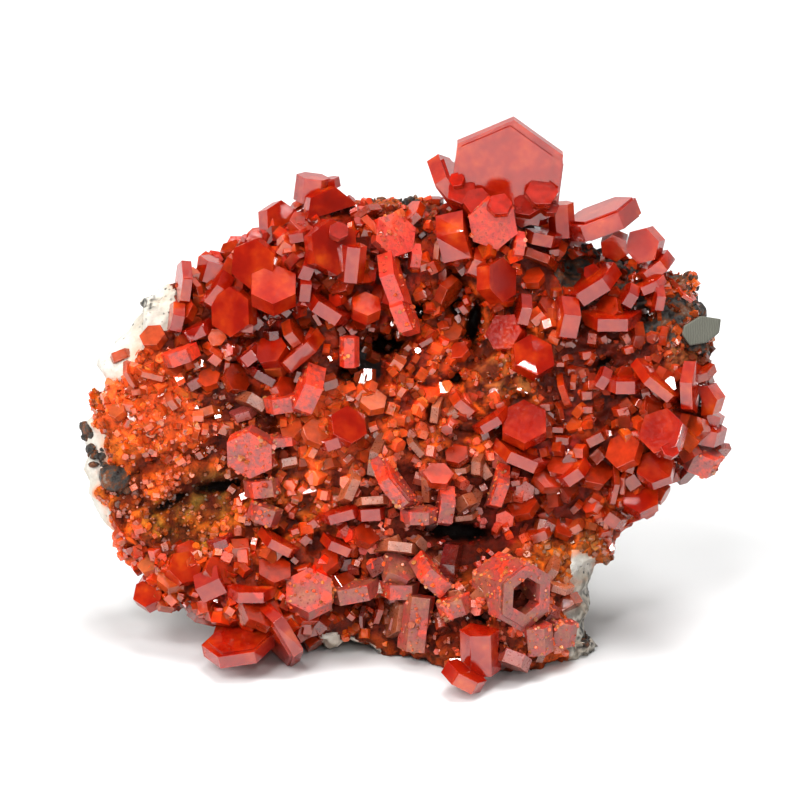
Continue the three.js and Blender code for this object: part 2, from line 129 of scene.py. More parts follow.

# What grows where on the face. Each patch fades into its neighbours. Grounds of HOLLOW or BLACK are painted
# shade.
# name, middle (across, up), reach, ground, crystals, their radius, how many to a square millimetre
GROWTH = [
    ("upper mound", (-9, 45), 6.5, DEEP, RED, 0.75, 1.3),
    ("lower mound", (-14, 38), 5.5, DEEP, RED, 0.65, 1.5),
    ("mound foot", (-8, 35), 4, BROWN, SCARLET, 0.5, 1.6),
    ("mound left edge", (-20, 38), 3.5, BROWN, CORAL, 0.5, 1.8),
    ("skyline", (-0.5, 50), 3.4, TAN, SALMON, 0.24, 5.0),
    ("crown seat", (8.5, 46), 4.5, DEEP, SCARLET, 0.6, 1.2),
    ("crown foot", (12, 41), 4, BROWN, SCARLET, 0.45, 1.6),
    ("dark corner", (18.5, 43), 3.2, BROWN, SCARLET, 0.36, 2.4),
    ("corner", (23.5, 41.5), 3.6, BROWN, SCARLET, 0.42, 2.6),
    ("right fringe", (29, 38.5), 3.2, BROWN, ORANGE, 0.34, 5.0),
    ("right tan ledge", (29.5, 34), 2.4, TAN, PEACH, 0.25, 4.0),
    ("right field", (20, 32.5), 5.5, HOLLOW, SALMON, 0.36, 3.4),
    ("right shoulder", (27, 27), 5, DEEP, SCARLET, 0.8, 1.2),
    ("right middle", (19, 25), 4.5, DEEP, SCARLET, 0.75, 1.3),
    ("right underside", (23.5, 20), 3.5, ORANGE, SCARLET, 0.8, 1.2),
    ("saddle", (8, 37), 4, ORANGE, SCARLET, 0.4, 2.6),
    ("saddle tan", (10.5, 32.5), 2.6, TAN, ORANGE, 0.25, 4.0),
    ("saddle right", (13.5, 36), 3, ORANGE, CORAL, 0.6, 1.5),
    ("upper middle", (1, 31), 4, SCARLET, CORAL, 0.45, 2.2),
    ("middle", (-7, 27), 5, CORAL, CORAL, 0.55, 2.0),
    ("middle right", (7, 26), 4.5, ORANGE, SALMON, 0.45, 2.2),
    ("left lobe", (-25.5, 30), 5.5, CORAL, CORAL, 0.42, 3.2),
    ("left lobe edge", (-29, 23), 3.5, AMBER, ORANGE, 0.25, 5.0),
    ("left lobe foot", (-23, 23.5), 3.5, ORANGE, CORAL, 0.32, 4.0),
    ("left middle", (-16.5, 29.5), 3.6, BROWN, PEACH, 0.4, 2.4),
    ("trench", (-20, 20.3), 2.2, OLIVE, OLIVE, 0.2, 3.0),
    ("mustard", (-21.5, 17), 3.2, MUSTARD, AMBER, 0.2, 6.0),
    ("lower left", (-25.5, 12), 4, ORANGE, SCARLET, 0.5, 2.6),
    ("left toe", (-15, 11), 5, DEEP, SCARLET, 0.65, 1.6),
    ("left toe top", (-13, 18.5), 3.5, AMBER, CORAL, 0.4, 2.4),
    ("toe middle", (-6, 12), 4, BROWN, RED, 0.5, 1.6),
    ("toe foot", (-4, 7.5), 3, RUST, ORANGE, 0.35, 2.4),
    ("ridge", (0, 19), 4, HOLLOW, SALMON, 0.42, 1.8),
    ("ridge right", (6.5, 20.5), 3, BROWN, SALMON, 0.42, 1.8),
    ("ridge foot", (1, 12.5), 3.5, BROWN, MAUVE, 0.42, 1.8),
    ("right low", (13, 20.5), 4, DEEP, SCARLET, 0.6, 1.3),
    ("band of shade", (7, 15.5), 2.6, BLACK, RED, 0.4, 1.0),
    ("right toe", (8, 7), 4.5, RUST, SALMON, 0.38, 2.4),
    ("right toe edge", (15.5, 8), 3, ORANGE, CORAL, 0.4, 2.4),
    ("right foot", (16.5, 14), 2.6, AMBER, TAN, 0.25, 3.5),
    ("lower left rim", (-29.5, 13.5), 2.6, ORANGE, CORAL, 0.3, 4.0),
    ("lobe rim", (-32.5, 30), 2.4, AMBER, ORANGE, 0.2, 5.0),
]

# Cavities, dug into the ground and darkened as painted shade: middle (across, up), half their length, half
# their width, direction of the length, depth
CAVITIES = [
    ((-1.6, 35.2), 2.0, 1.1, 0, 4.0),
    ((-5.0, 32.2), 1.2, 1.0, 0, 2.5),
    ((1.8, 38.2), 1.2, 1.0, 0, 3.0),
    ((5.0, 41.7), 0.9, 0.8, 0, 2.5),
    ((7.4, 37.2), 2.4, 0.8, 80, 3.5),
    ((5.7, 31.7), 0.9, 0.7, 30, 2.0),
    ((18.2, 43.2), 2.2, 1.4, 0, 3.5),
    ((22.0, 42.0), 1.0, 0.8, 0, 2.5),
    ((24.5, 38.0), 1.2, 0.9, 0, 2.5),
    ((-12.2, 11.6), 1.2, 0.9, 70, 3.0),
    ((5.5, 16.4), 3.6, 0.9, -4, 3.0),
    ((2.8, 9.3), 1.0, 0.7, 90, 2.5),
    ((8.0, 8.0), 1.0, 0.8, 0, 2.5),
    ((-2.0, 9.6), 0.8, 0.6, 0, 1.8),
    ((-23.0, 19.2), 2.2, 0.6, 28, 1.6),
    ((-18.0, 20.8), 2.8, 0.7, 8, 2.0),
    ((20.5, 33.0), 1.2, 0.9, 30, 1.8),
    ((-12.6, 15.9), 0.8, 0.5, 0, 1.6),
    ((12.4, 10.0), 2.2, 2.2, 0, 1.0),
    ((19.5, 33.6), 4.5, 1.6, -10, 0.8),
    ((5.6, 39.5), 2.0, 1.0, 90, 1.5),
    ((-3.4, 33.6), 3.2, 1.4, -50, 1.5),
    ((-5.0, 9.6), 4.0, 1.0, -15, 1.0),
    ((3.0, 6.4), 3.0, 1.0, 10, 1.0),
    ((21.0, 27.6), 2.0, 1.0, 10, 0.8),
    ((-11.4, 16.8), 2.0, 0.8, 30, 1.0),
]

# Where the baryte shows bare on the face: middle and radius
BARE = [
    ((-25.6, 38.8), 3.8),
    ((-31.2, 36.6), 2.0),
    ((-7.0, 5.2), 1.3),
    ((-5.0, 4.3), 1.3),
    ((-3.0, 3.9), 1.3),
    ((19.6, 8.2), 2.9),
    ((18.8, 4.8), 2.6),
    ((18.2, 12.8), 1.5),
]

# Where the left rim is pared back: middle, radius and depth
PARED = [((-29.5, 12.0), 5.5, 1.6), ((-33.0, 30.5), 4.0, 1.6)]

# Where the crystals have grown into one bright mass: middle and radius
FUSED = [((-25.5, 29.5), 6.5), ((-7.0, 27.0), 5.0)]

# Where the bare baryte is mottled grey: middle and radius
GRIMY = [((19.4, 5.8), 5.0), ((20.2, 10.5), 3.5), ((-25.4, 39.4), 1.6), ((-29.4, 22.0), 1.6)]

# Black manganese grains: both ends of each band of them, and its half width
BLACK_BANDS = [
    ((27.4, 44.6), (32.6, 38.4), 0.9),
    ((28.6, 39.5), (30.4, 38.2), 0.5),
    ((-30.6, 24.3), (-28.0, 20.6), 0.8),
    ((-31.6, 26.6), (-31.3, 26.0), 0.5),
    ((-3.4, 49.9), (-2.0, 49.9), 0.7),
    ((0.4, 49.6), (1.8, 49.3), 0.6),
    ((18.6, 5.2), (19.8, 8.4), 0.4),
]


def growth_at(face):
    """The ground's colour, the crystals' colour, their radius and their density, at places on the face."""
    across, up = face.T[:2]
    near = np.zeros((len(GROWTH), len(across)))
    for row, (_, middle, reach, *_) in enumerate(GROWTH):
        apart = np.hypot(across - middle[0], up - middle[1]) / reach
        near[row] = np.exp(-2 * apart ** 2) + 1e-6 / (1 + apart ** 4)
    near /= near.sum(0)
    ground = near.T @ np.array([patch[3] for patch in GROWTH])
    tint = near.T @ np.array([patch[4] for patch in GROWTH])
    radius = near.T @ np.array([patch[5] for patch in GROWTH])
    density = near.T @ np.array([patch[6] for patch in GROWTH])
    return ground, tint, radius, density


def cavity_at(face):
    """How deep the cavities are at places on the face, and how much of their painted shade lies there."""
    across, up = face.T[:2]
    deep = np.zeros(len(across))
    dark = np.zeros(len(across))
    for middle, long, short, turn, depth in CAVITIES:
        turn = math.radians(turn)
        along = (across - middle[0]) * math.cos(turn) + (up - middle[1]) * math.sin(turn)
        beside = (up - middle[1]) * math.cos(turn) - (across - middle[0]) * math.sin(turn)
        apart = np.hypot(along / long, beside / short)
        deep = np.maximum(deep, depth * (1 - smooth(apart, 0.5, 1.25)))
        dark = np.maximum(dark, 1 - smooth(apart, 0.6, 1.5))
    return deep, dark


def inside(patches, face, fade):
    """1 inside the round patches, falling to 0 at their edge from this share of their radius."""
    across, up = face.T[:2]
    share = np.zeros(len(face))
    for middle, radius in patches:
        apart = np.hypot(across - middle[0], up - middle[1]) / radius
        share = np.maximum(share, 1 - smooth(apart, fade, 1.0))
    return share


def bare_at(face):
    return inside(BARE, face, 0.75)


def fused_at(face):
    return inside(FUSED, face, 0.5)


def grimy_at(face):
    return inside(GRIMY, face, 0.2)


def black_at(face):
    across, up = face.T[:2]
    share = np.zeros(len(face))
    for start, end, width in BLACK_BANDS:
        way = np.array(end) - np.array(start)
        offset = np.stack([across - start[0], up - start[1]], -1)
        along = np.clip(offset @ way / (way @ way), 0, 1)
        apart = np.linalg.norm(offset - along[:, None] * way, axis=1) / width
        share = np.maximum(share, 1 - smooth(apart, 0.4, 1.1))
    return share


# Studio: camera, floor and lights

CAMERA_AWAY = 0.36
FIELD = 0.08  # width of the picture at the face
PICTURE_MIDDLE = 29.5  # mm up the face

FLOOR_SIDE = 0.5
FLOOR_BACK = 0.28  # any further back and its edge shows as a band in low views
FLOOR_GREY = 0.62

LAMPS_AIM = Vector((0, 0, 0.025))
# name, place, size and power
LAMPS = [
    ("overhead", (0.12, 0.09, 0.8), 0.42, 6.9),
    ("front", (-0.35, -0.42, 0.75), 0.4, 3.6),
    ("left", (-0.8, -0.3, 0.45), 0.3, 6.6),
]
# Small lamps a metre away that show in glossy faces: degrees to the right and degrees up
SPARKLES = [(-27, 40), (-12, 58), (4, 30), (28, 48), (40, 26)]
SPARKLE_SIZE = 0.12
SPARKLE_POWER = 1.4
FILL = 0.19  # the white glow from all round


def set_inputs(node, values):
    for socket, value in values.items():
        node.inputs[socket].default_value = value


def add_camera():
    data = bpy.data.cameras.new("camera")
    data.sensor_width = 36
    data.lens = data.sensor_width * CAMERA_AWAY / FIELD
    data.clip_start = 0.01
    data.clip_end = 10
    camera = linked("camera", data)
    camera.location = world(0, PICTURE_MIDDLE, 0) + OUT * CAMERA_AWAY
    camera.rotation_mode = "QUATERNION"
    camera.rotation_quaternion = (-OUT).to_track_quat("-Z", "Y")
    bpy.context.scene.camera = camera


def add_area(name, place, size, power, mirrored):
    """A square lamp that faces the specimen. A mirrored one shows in glossy faces."""
    data = bpy.data.lights.new(name, "AREA")
    data.size = size
    data.energy = power
    light = linked(name, data)
    light.location = place
    light.rotation_mode = "QUATERNION"
    light.rotation_quaternion = (LAMPS_AIM - Vector(place)).to_track_quat("-Z", "Y")
    light.visible_glossy = mirrored
    light.visible_camera = False


def add_lamps():
    for lamp in LAMPS:
        add_area(*lamp, False)
    for number, (turn, rise) in enumerate(SPARKLES, start=1):
        turn, rise = math.radians(turn), math.radians(rise)
        place = (math.sin(turn) * math.cos(rise), -math.cos(turn) * math.cos(rise), math.sin(rise))
        add_area(f"sparkle_{number}", place, SPARKLE_SIZE, SPARKLE_POWER, True)


def add_floor():
    front = [(-FLOOR_SIDE, -FLOOR_SIDE, 0), (FLOOR_SIDE, -FLOOR_SIDE, 0)]
    back = [(FLOOR_SIDE, FLOOR_BACK, 0), (-FLOOR_SIDE, FLOOR_BACK, 0)]
    mesh = bpy.data.meshes.new("floor")
    mesh.from_pydata(front + back, [], [(0, 1, 2, 3)])
    floor = linked("floor", mesh)
    material, _, shader = new_material("floor")
    grey = (FLOOR_GREY, FLOOR_GREY, FLOOR_GREY, 1)
    set_inputs(shader, {"Base Color": grey, "Roughness": 0.8, "Specular IOR Level": 0.2})
    mesh.materials.append(material)


def background(tree, strength):
    node = tree.nodes.new("ShaderNodeBackground")
    set_inputs(node, {"Color": (1, 1, 1, 1), "Strength": strength})
    return node


def switched(tree, test, otherwise, then):
    """The shader `then` where the test is 1, and `otherwise` where it is 0."""
    node = tree.nodes.new("ShaderNodeMixShader")
    tree.links.new(test, node.inputs["Fac"])
    tree.links.new(otherwise.outputs[0], node.inputs[1])
    tree.links.new(then.outputs[0], node.inputs[2])
    return node


def map_range(tree, value, given, wanted):
    """A node that takes the given range of a value to the wanted one, and holds it at the ends."""
    node = tree.nodes.new("ShaderNodeMapRange")
    set_inputs(node, {"From Min": given[0], "From Max": given[1], "To Min": wanted[0], "To Max": wanted[1]})
    tree.links.new(value, node.inputs["Value"])
    return node


def set_world():
    """White behind the specimen, a soft glow all round, and a dark room above the camera in its mirrors."""
    scene = bpy.context.scene
    scene.view_settings.view_transform = "Standard"
    scene.view_settings.look = "None"
    scene.view_settings.gamma = 0.85
    scene.view_settings.exposure = 0.08
    studio = bpy.data.worlds.new("studio")
    scene.world = studio
    studio.use_nodes = True
    tree = studio.node_tree
    tree.nodes.clear()
    out = tree.nodes.new("ShaderNodeOutputWorld")
    path = tree.nodes.new("ShaderNodeLightPath")
    place = tree.nodes.new("ShaderNodeTexCoord")
    split = tree.nodes.new("ShaderNodeSeparateXYZ")
    tree.links.new(place.outputs["Generated"], split.inputs["Vector"])
    backdrop = map_range(tree, split.outputs["Y"], (-0.1, 0.7), (0.05, 0.9))
    backdrop.interpolation_type = "SMOOTHSTEP"
    mirrored = background(tree, 1)
    tree.links.new(backdrop.outputs["Result"], mirrored.inputs["Strength"])
    glossy = switched(tree, path.outputs["Is Glossy Ray"], background(tree, FILL), mirrored)
    seen = switched(tree, path.outputs["Is Camera Ray"], glossy, background(tree, 1))
    tree.links.new(seen.outputs[0], out.inputs["Surface"])


# Materials


def new_material(name):
    material = bpy.data.materials.new(name)
    material.use_nodes = True
    tree = material.node_tree
    return material, tree, tree.nodes["Principled BSDF"]


def object_place(tree):
    return tree.nodes.new("ShaderNodeTexCoord").outputs["Object"]


def object_noise(tree, scale, detail, roughness):
    """Noise through the whole specimen. The scale is in grains to a metre."""
    texture = tree.nodes.new("ShaderNodeTexNoise")
    set_inputs(texture, {"Scale": scale, "Detail": detail, "Roughness": roughness})
    tree.links.new(object_place(tree), texture.inputs["Vector"])
    return texture.outputs["Fac"]


def ramp(tree, value, stops):
    node = tree.nodes.new("ShaderNodeValToRGB")
    tree.links.new(value, node.inputs["Fac"])
    elements = node.color_ramp.elements
    while len(elements) < len(stops):
        elements.new(0.5)
    for element, (position, colour) in zip(elements, stops):
        element.position = position
        element.color = (*colour, 1)
    return node.outputs["Color"]


def greys(*stops):
    return [(position, (grey, grey, grey)) for position, grey in stops]


def mixed(tree, kind, share, first, second):
    node = tree.nodes.new("ShaderNodeMix")
    node.data_type = "RGBA"
    node.blend_type = kind
    if isinstance(share, float):
        node.inputs["Factor"].default_value = share
    else:
        tree.links.new(share, node.inputs["Factor"])
    for socket, colour in ((6, first), (7, second)):
        if isinstance(colour, tuple):
            node.inputs[socket].default_value = (*colour, 1)
        else:
            tree.links.new(colour, node.inputs[socket])
    return node.outputs[2]


def bumped(tree, shader, value, distance):
    bump = tree.nodes.new("ShaderNodeBump")
    bump.inputs["Distance"].default_value = distance
    tree.links.new(value, bump.inputs["Height"])
    tree.links.new(bump.outputs["Normal"], shader.inputs["Normal"])


def tint_of(tree):
    attribute = tree.nodes.new("ShaderNodeAttribute")
    attribute.attribute_name = "tint"
    return attribute.outputs["Color"]


def scattering(shader, weight, depths, reach):
    """Light that spreads under the surface: how far, in mm, times a share for red, green and blue."""
    values = {"Subsurface Weight": weight, "Subsurface Radius": depths, "Subsurface Scale": reach * MM}
    set_inputs(shader, values)


RED_DEPTHS = (1.0, 0.16, 0.04)


def gem(shader, transmission, scatter):
    set_inputs(shader, {"IOR": 2.1, "Transmission Weight": transmission})
    scattering(shader, scatter, RED_DEPTHS, 0.8)


def roughened(tree, shader, value, *stops):
    tree.links.new(ramp(tree, value, greys(*stops)), shader.inputs["Roughness"])


def tinted(tree, shader, tint, shade):
    tree.links.new(mixed(tree, "MULTIPLY", 1.0, tint, shade), shader.inputs["Base Color"])


GEM_STOPS = [(0.32, DEEP), (0.46, (0.48, 0.018, 0.003)), (0.6, (0.62, 0.05, 0.006)), (0.76, ORANGE)]


def vanadinite_material():
    """Clear deep red, clouded orange inside, with faintly rippled faces."""
    material, tree, shader = new_material("vanadinite")
    cloud = object_noise(tree, 330, 3, 0.6)
    inside = ramp(tree, cloud, GEM_STOPS)
    tree.links.new(inside, shader.inputs["Base Color"])
    ripple = object_noise(tree, 3200, 4, 0.65)
    roughened(tree, shader, ripple, (0.4, 0.05), (0.7, 0.2))
    gem(shader, 0.45, 0.2)
    bumped(tree, shader, ripple, 0.01 * MM)
    return material


def grown_material(name, rough, bump, transmission, scatter):
    """Small crystals, each with a tint of its own."""
    material, tree, shader = new_material(name)
    cloud = object_noise(tree, 900, 3, 0.6)
    shade = ramp(tree, cloud, greys((0.3, 0.55), (0.7, 1.0)))
    tinted(tree, shader, tint_of(tree), shade)
    ripple = object_noise(tree, 4200, 3, 0.6)
    roughened(tree, shader, ripple, (0.35, rough), (0.7, rough + 0.15))
    gem(shader, transmission, scatter)
    bumped(tree, shader, ripple, bump * MM)
    return material


# The paler stops are the coat's own colours, darkened a little as painted shade.
COAT_STOPS = [
    (0.26, RED),
    (0.36, SCARLET),
    (0.46, MAUVE),
    (0.53, (0.38, 0.09, 0.055)),
    (0.63, (0.47, 0.15, 0.062)),
    (0.76, (0.54, 0.23, 0.08)),
]


def coated_material():
    """Vanadinite under a sandy skin of later minerals, thick and peach low down, thin and red higher up."""
    material, tree, shader = new_material("coated_vanadinite")
    split = tree.nodes.new("ShaderNodeSeparateXYZ")
    tree.links.new(object_place(tree), split.inputs["Vector"])
    thinning = map_range(tree, split.outputs["Z"], (12 * MM, 34 * MM), (0.02, 0.2))
    skin = tree.nodes.new("ShaderNodeMath")
    skin.operation = "SUBTRACT"
    tree.links.new(object_noise(tree, 420, 5, 0.7), skin.inputs[0])
    tree.links.new(thinning.outputs["Result"], skin.inputs[1])
    colour = ramp(tree, skin.outputs[0], COAT_STOPS)
    sand = object_noise(tree, 2600, 4, 0.75)
    grit = ramp(tree, sand, greys((0.35, 0.55), (0.65, 1.0)))
    tinted(tree, shader, colour, grit)
    roughened(tree, shader, sand, (0.3, 0.22), (0.7, 0.6))
    gem(shader, 0.1, 0.2)
    bumped(tree, shader, sand, 0.06 * MM)
    return material


def ground_material(name, rough, grain_size, bump):
    """The druse's own ground, tinted by place, sugary and mottled."""
    material, tree, shader = new_material(name)
    mottle = object_noise(tree, 1100, 5, 0.7)
    shade = ramp(tree, mottle, greys((0.36, 0.25), (0.5, 0.75), (0.68, 1.0)))
    tinted(tree, shader, tint_of(tree), shade)
    grain = object_noise(tree, 1 / (grain_size * MM), 4, 0.7)
    roughened(tree, shader, grain, (0.35, rough), (0.65, rough + 0.3))
    set_inputs(shader, {"IOR": 1.6, "Specular IOR Level": 0.2})
    scattering(shader, 0.25, RED_DEPTHS, 0.8)
    bumped(tree, shader, grain, bump * MM)
    return material


BARYTE_STOPS = [(0.3, (0.66, 0.52, 0.40)), (0.42, (0.84, 0.80, 0.74)), (0.6, (1, 1, 1))]


def baryte_material():
    """White to cream, a little clear, stained near the crusts and peppered with black specks."""
    material, tree, shader = new_material("baryte")
    cloud = object_noise(tree, 200, 5, 0.7)
    shade = ramp(tree, cloud, BARYTE_STOPS)
    white = mixed(tree, "MULTIPLY", 1.0, tint_of(tree), shade)
    cells = tree.nodes.new("ShaderNodeTexVoronoi")
    set_inputs(cells, {"Scale": 1500})
    tree.links.new(object_place(tree), cells.inputs["Vector"])
    specks = ramp(tree, cells.outputs["Distance"], greys((0.18, 1), (0.27, 0)))
    swarm = ramp(tree, object_noise(tree, 110, 4, 0.75), greys((0.50, 0), (0.57, 1)))
    pepper = mixed(tree, "MULTIPLY", 1.0, specks, swarm)
    tree.links.new(mixed(tree, "MIX", pepper, white, SLATE), shader.inputs["Base Color"])
    set_inputs(shader, {"Roughness": 0.55, "IOR": 1.64})
    scattering(shader, 0.25, (1.0, 0.9, 0.8), 0.6)
    bumped(tree, shader, object_noise(tree, 1300, 5, 0.8), 0.22 * MM)
    return material


CLEAVAGE_STOPS = [(0.2, (0.105, 0.105, 0.085)), (0.8, (0.13, 0.13, 0.105))]


def cleavage_material():
    """Grey-olive and silky, with fine parallel lines."""
    material, tree, shader = new_material("cleavage")
    lines = tree.nodes.new("ShaderNodeTexWave")
    set_inputs(lines, {"Scale": 1300, "Distortion": 6, "Detail": 3})
    tree.links.new(object_place(tree), lines.inputs["Vector"])
    colour = ramp(tree, lines.outputs["Fac"], CLEAVAGE_STOPS)
    tree.links.new(colour, shader.inputs["Base Color"])
    set_inputs(shader, {"Roughness": 0.4})
    bumped(tree, shader, lines.outputs["Fac"], 0.015 * MM)
    return material


MANGANESE_STOPS = [(0.35, BLACK), (0.47, SLATE), (0.58, (0.16, 0.045, 0.008)), (0.72, (0.2, 0.2, 0.18))]


def manganese_material():
    """Black to grey, half-bright, finely botryoidal."""
    material, tree, shader = new_material("manganese_oxide")
    patch = object_noise(tree, 900, 4, 0.7)
    tree.links.new(ramp(tree, patch, MANGANESE_STOPS), shader.inputs["Base Color"])
    roughened(tree, shader, patch, (0.3, 0.25), (0.7, 0.6))
    bumped(tree, shader, object_noise(tree, 1700, 4, 0.75), 0.2 * MM)
    return material


# Crystals, as arrays of rows: one row for each crystal, in the face's millimetres

CORNERS = 6
ROOT_GLOW = 0.45  # painted glow: share of orange at the end a crystal grows from


def square_to(ways, axes):
    return unit(ways - axes * np.sum(ways * axes, -1, keepdims=True))


def corner_beside(looking, axes):
    """The corner next to the prism face that looks this way."""
    return looking * math.cos(math.pi / 6) + np.cross(axes, looking) * math.sin(math.pi / 6)


def prism_faces(corners):
    """Both ends and the sides of a prism. One end's corners come first, anticlockwise seen from the other."""
    faces = [tuple(reversed(range(corners))), tuple(range(corners, 2 * corners))]
    for corner in range(corners):
        after = (corner + 1) % corners
        faces.append((corner, after, after + corners, corner + corners))
    return faces


def repeated(faces, count, corners):
    """The faces of `count` copies of a shape that has so many corners."""
    starts = range(0, count * corners, corners)
    return [[start + index for index in face] for start in starts for face in faces]


def on_floor(places):
    """Places in the face's millimetres as places in metres, none of them under the floor."""
    places = to_world(places.reshape(-1, 3))
    places[:, 2] = np.maximum(places[:, 2], 0)
    return places


def wear(piece, width, segments=1):
    edges = piece.modifiers.new("worn_edges", "BEVEL")
    edges.width = width * MM
    edges.segments = segments
    return edges


def build_crystals(name, material, slot, centres, axes, corners, radii, depths, tints, uneven=0.1, bevel=0.0):
    """One mesh of closed hexagonal prisms, a little uneven, each with its tint."""
    count = len(centres)
    corners = square_to(corners, axes)
    sides = np.cross(axes, corners)
    half = axes * depths[:, None] / 2
    places = np.zeros((count, 2 * CORNERS, 3))
    for corner in range(CORNERS):
        angle = 2 * math.pi * corner / CORNERS
        way = corners * math.cos(angle) + sides * math.sin(angle)
        reach = (radii * (1 + uneven * RANDOM.uniform(-1, 1, count)))[:, None]
        places[:, corner] = centres - half + way * reach
        places[:, corner + CORNERS] = centres + half + way * reach
    polygons = repeated(prism_faces(CORNERS), count, 2 * CORNERS)
    roots = (1 - ROOT_GLOW) * tints + ROOT_GLOW * np.array(ORANGE) * tints.max(1, keepdims=True)
    tints = np.repeat(np.stack([roots, tints], 1), CORNERS, 1).reshape(-1, 3)
    piece = new_piece(name, on_floor(places), polygons, material, tints)
    if bevel:
        wear(piece, bevel)


def new_piece(name, places, polygons, material, tints):
    mesh = bpy.data.meshes.new(name)
    mesh.from_pydata(places.tolist(), [], polygons)
    colours = mesh.attributes.new("tint", "FLOAT_COLOR", "POINT")
    colours.data.foreach_set("color", np.concatenate([tints, np.ones((len(tints), 1))], -1).ravel())
    mesh.materials.append(material)
    piece = linked(name, mesh)
    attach(piece, "root")
    return piece


# The ground: matrix and crusts in one skin, voxel-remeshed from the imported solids, roughened and cut by zone

VOXEL = 0.36
MATRIX_GROWTH = 0.3
CRUST_GROWTH = 0.2
SKIN = 0.7  # thickness of the ground's pieces
HOLLOW_SHADE = 0.9  # painted shade: how far the ground's colour is darkened in the hollows between the knobs
GLOW_SHARE = 0.75  # painted glow: share of orange in the brightest patches, standing in for light through the crystals
GLOW_GRAINS = 380  # patches of painted glow to a metre
GRIME_GRAINS = 2100
BARE_BACK = -6  # mm out of the face; the bare patches end there
BLACK_DEPTH = 1.2  # mm; deeper cavities are painted black at the bottom as shade, shallower ones dark red
STAIN_REACH = (0.3, 1.8)  # mm from the crusts to where their stain starts to fade, and where it ends

MATRIX = "baryte_matrix"
CRUSTS = sorted(name for name in frame["nodes"] if name.startswith("crust_"))


def grown_copy(target, node, growth):
    """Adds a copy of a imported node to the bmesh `target`, its surface moved out by `growth` mm."""
    source = bmesh.new()
    source.from_mesh(frame["nodes"][node].data)
    bmesh.ops.remove_doubles(source, verts=source.verts, dist=0.001 * MM)
    source.normal_update()
    moved = [vert.co + vert.normal * growth * MM for vert in source.verts]
    for vert, place in zip(source.verts, moved):
        vert.co = place
    copy = bpy.data.meshes.new("copy")
    source.to_mesh(copy)
    source.free()
    target.from_mesh(copy)
    bpy.data.meshes.remove(copy)


def evaluated(piece):
    """The piece's mesh with its modifiers applied."""
    graph = bpy.context.evaluated_depsgraph_get()
    return bpy.data.meshes.new_from_object(piece.evaluated_get(graph), depsgraph=graph)


def remeshed_ground():
    joined = bmesh.new()
    grown_copy(joined, MATRIX, MATRIX_GROWTH)
    for name in CRUSTS:
        grown_copy(joined, name, CRUST_GROWTH)
    mesh = bpy.data.meshes.new("ground")
    joined.to_mesh(mesh)
    joined.free()
    ground = linked("ground", mesh)
    remesh = ground.modifiers.new("voxels", "REMESH")
    remesh.mode = "VOXEL"
    remesh.voxel_size = VOXEL * MM
    soften = ground.modifiers.new("soften", "SMOOTH")
    soften.factor = 0.5
    soften.iterations = 3
    fine = evaluated(ground)
    bpy.data.objects.remove(ground)
    return fine


def bvh_of(names):
    """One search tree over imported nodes."""
    joined = bmesh.new()
    for name in names:
        joined.from_mesh(frame["nodes"][name].data)
    tree = BVHTree.FromBMesh(joined)
    joined.free()
    return tree


def arrays_of(mesh):
    places = np.zeros(len(mesh.vertices) * 3)
    mesh.vertices.foreach_get("co", places)
    normals = np.zeros(len(mesh.vertices) * 3)
    mesh.vertex_normals.foreach_get("vector", normals)
    return places.reshape(-1, 3), normals.reshape(-1, 3)


def rough_at(place):
    """Height, in mm, of the crust's knobs and grains at a place in metres."""
    knobs = noise.noise(place * 420)
    grains = noise.turbulence(place * 1100, 3, False)
    return 0.75 * knobs + 0.5 * (grains - 0.5)


def plates_at(place):
    """Height, in mm, of the baryte's plates and pits at a place in metres."""
    plates = noise.noise(Vector((place.x * 260, place.y * 260, place.z * 620)))
    pits = noise.turbulence(place * 900, 3, True)
    return 0.6 * plates - 0.3 * pits


DRIFT_STARTS = ((0, 0, 0), (31.4, 11.7, 5.2), (7.9, 43.1, 19.6))  # one far-off start for each way
DRIFT = 0.7  # mm


def drift_at(place):
    """A smooth shift to the sides. noise_vector would give another one in every run."""
    return Vector([noise.noise(place * 500 + Vector(start)) for start in DRIFT_STARTS])


def noise_over(places, scale):
    """Smooth noise at each place in metres, its scale in grains to a metre."""
    return np.array([noise.noise(Vector(place) * scale) for place in places])


def gaps_to(names, places):
    """How far, in mm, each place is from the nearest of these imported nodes."""
    tree = bvh_of(names)
    return np.array([tree.find_nearest(Vector(place))[3] for place in places]) / MM


def blended(first, second, share):
    """Colours in rows, each so much of the way from the first to the second."""
    return first * (1 - share[:, None]) + second * share[:, None]


def zone_of(middles):
    """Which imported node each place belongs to: 0 for the matrix, then the crusts, with ragged borders."""
    trees = [bvh_of([name]) for name in [MATRIX, *CRUSTS]]
    zones = []
    ragged = []
    for middle in middles:
        place = Vector(middle)
        place = place + drift_at(place) * DRIFT * MM
        gaps = [tree.find_nearest(place)[3] for tree in trees]
        zones.append(int(np.argmin(gaps)))
        ragged.append(place)
    face = to_face(np.array(ragged))
    return np.where(bare_at(face) * (face[:, 2] > BARE_BACK) > 0.5, 0, zones)


def thicken(piece):
    """Gives a cut piece of skin its thickness, none of it under the floor."""
    body = piece.modifiers.new("thickness", "SOLIDIFY")
    body.thickness = SKIN * MM
    mesh = evaluated(piece)
    piece.modifiers.clear()
    for vert in mesh.vertices:
        vert.co.z = max(vert.co.z, 0)
    piece.data = mesh


def crust_tints(places, face, fused, shade, deep):
    """Coloured by place, with a painted orange glow in patches and painted shade in the hollows and cavities.
    """
    ground = growth_at(face)[0]
    glow = GLOW_SHARE * smooth(noise_over(places, GLOW_GRAINS), -0.05, 0.35) * (1 - 0.7 * fused)
    tints = blended(ground, np.array(ORANGE) * ground.max(1, keepdims=True), glow)
    bottom = np.where(deep[:, None] > BLACK_DEPTH, np.array([BLACK]), np.array([HOLLOW]))
    return blended(tints, bottom, shade)


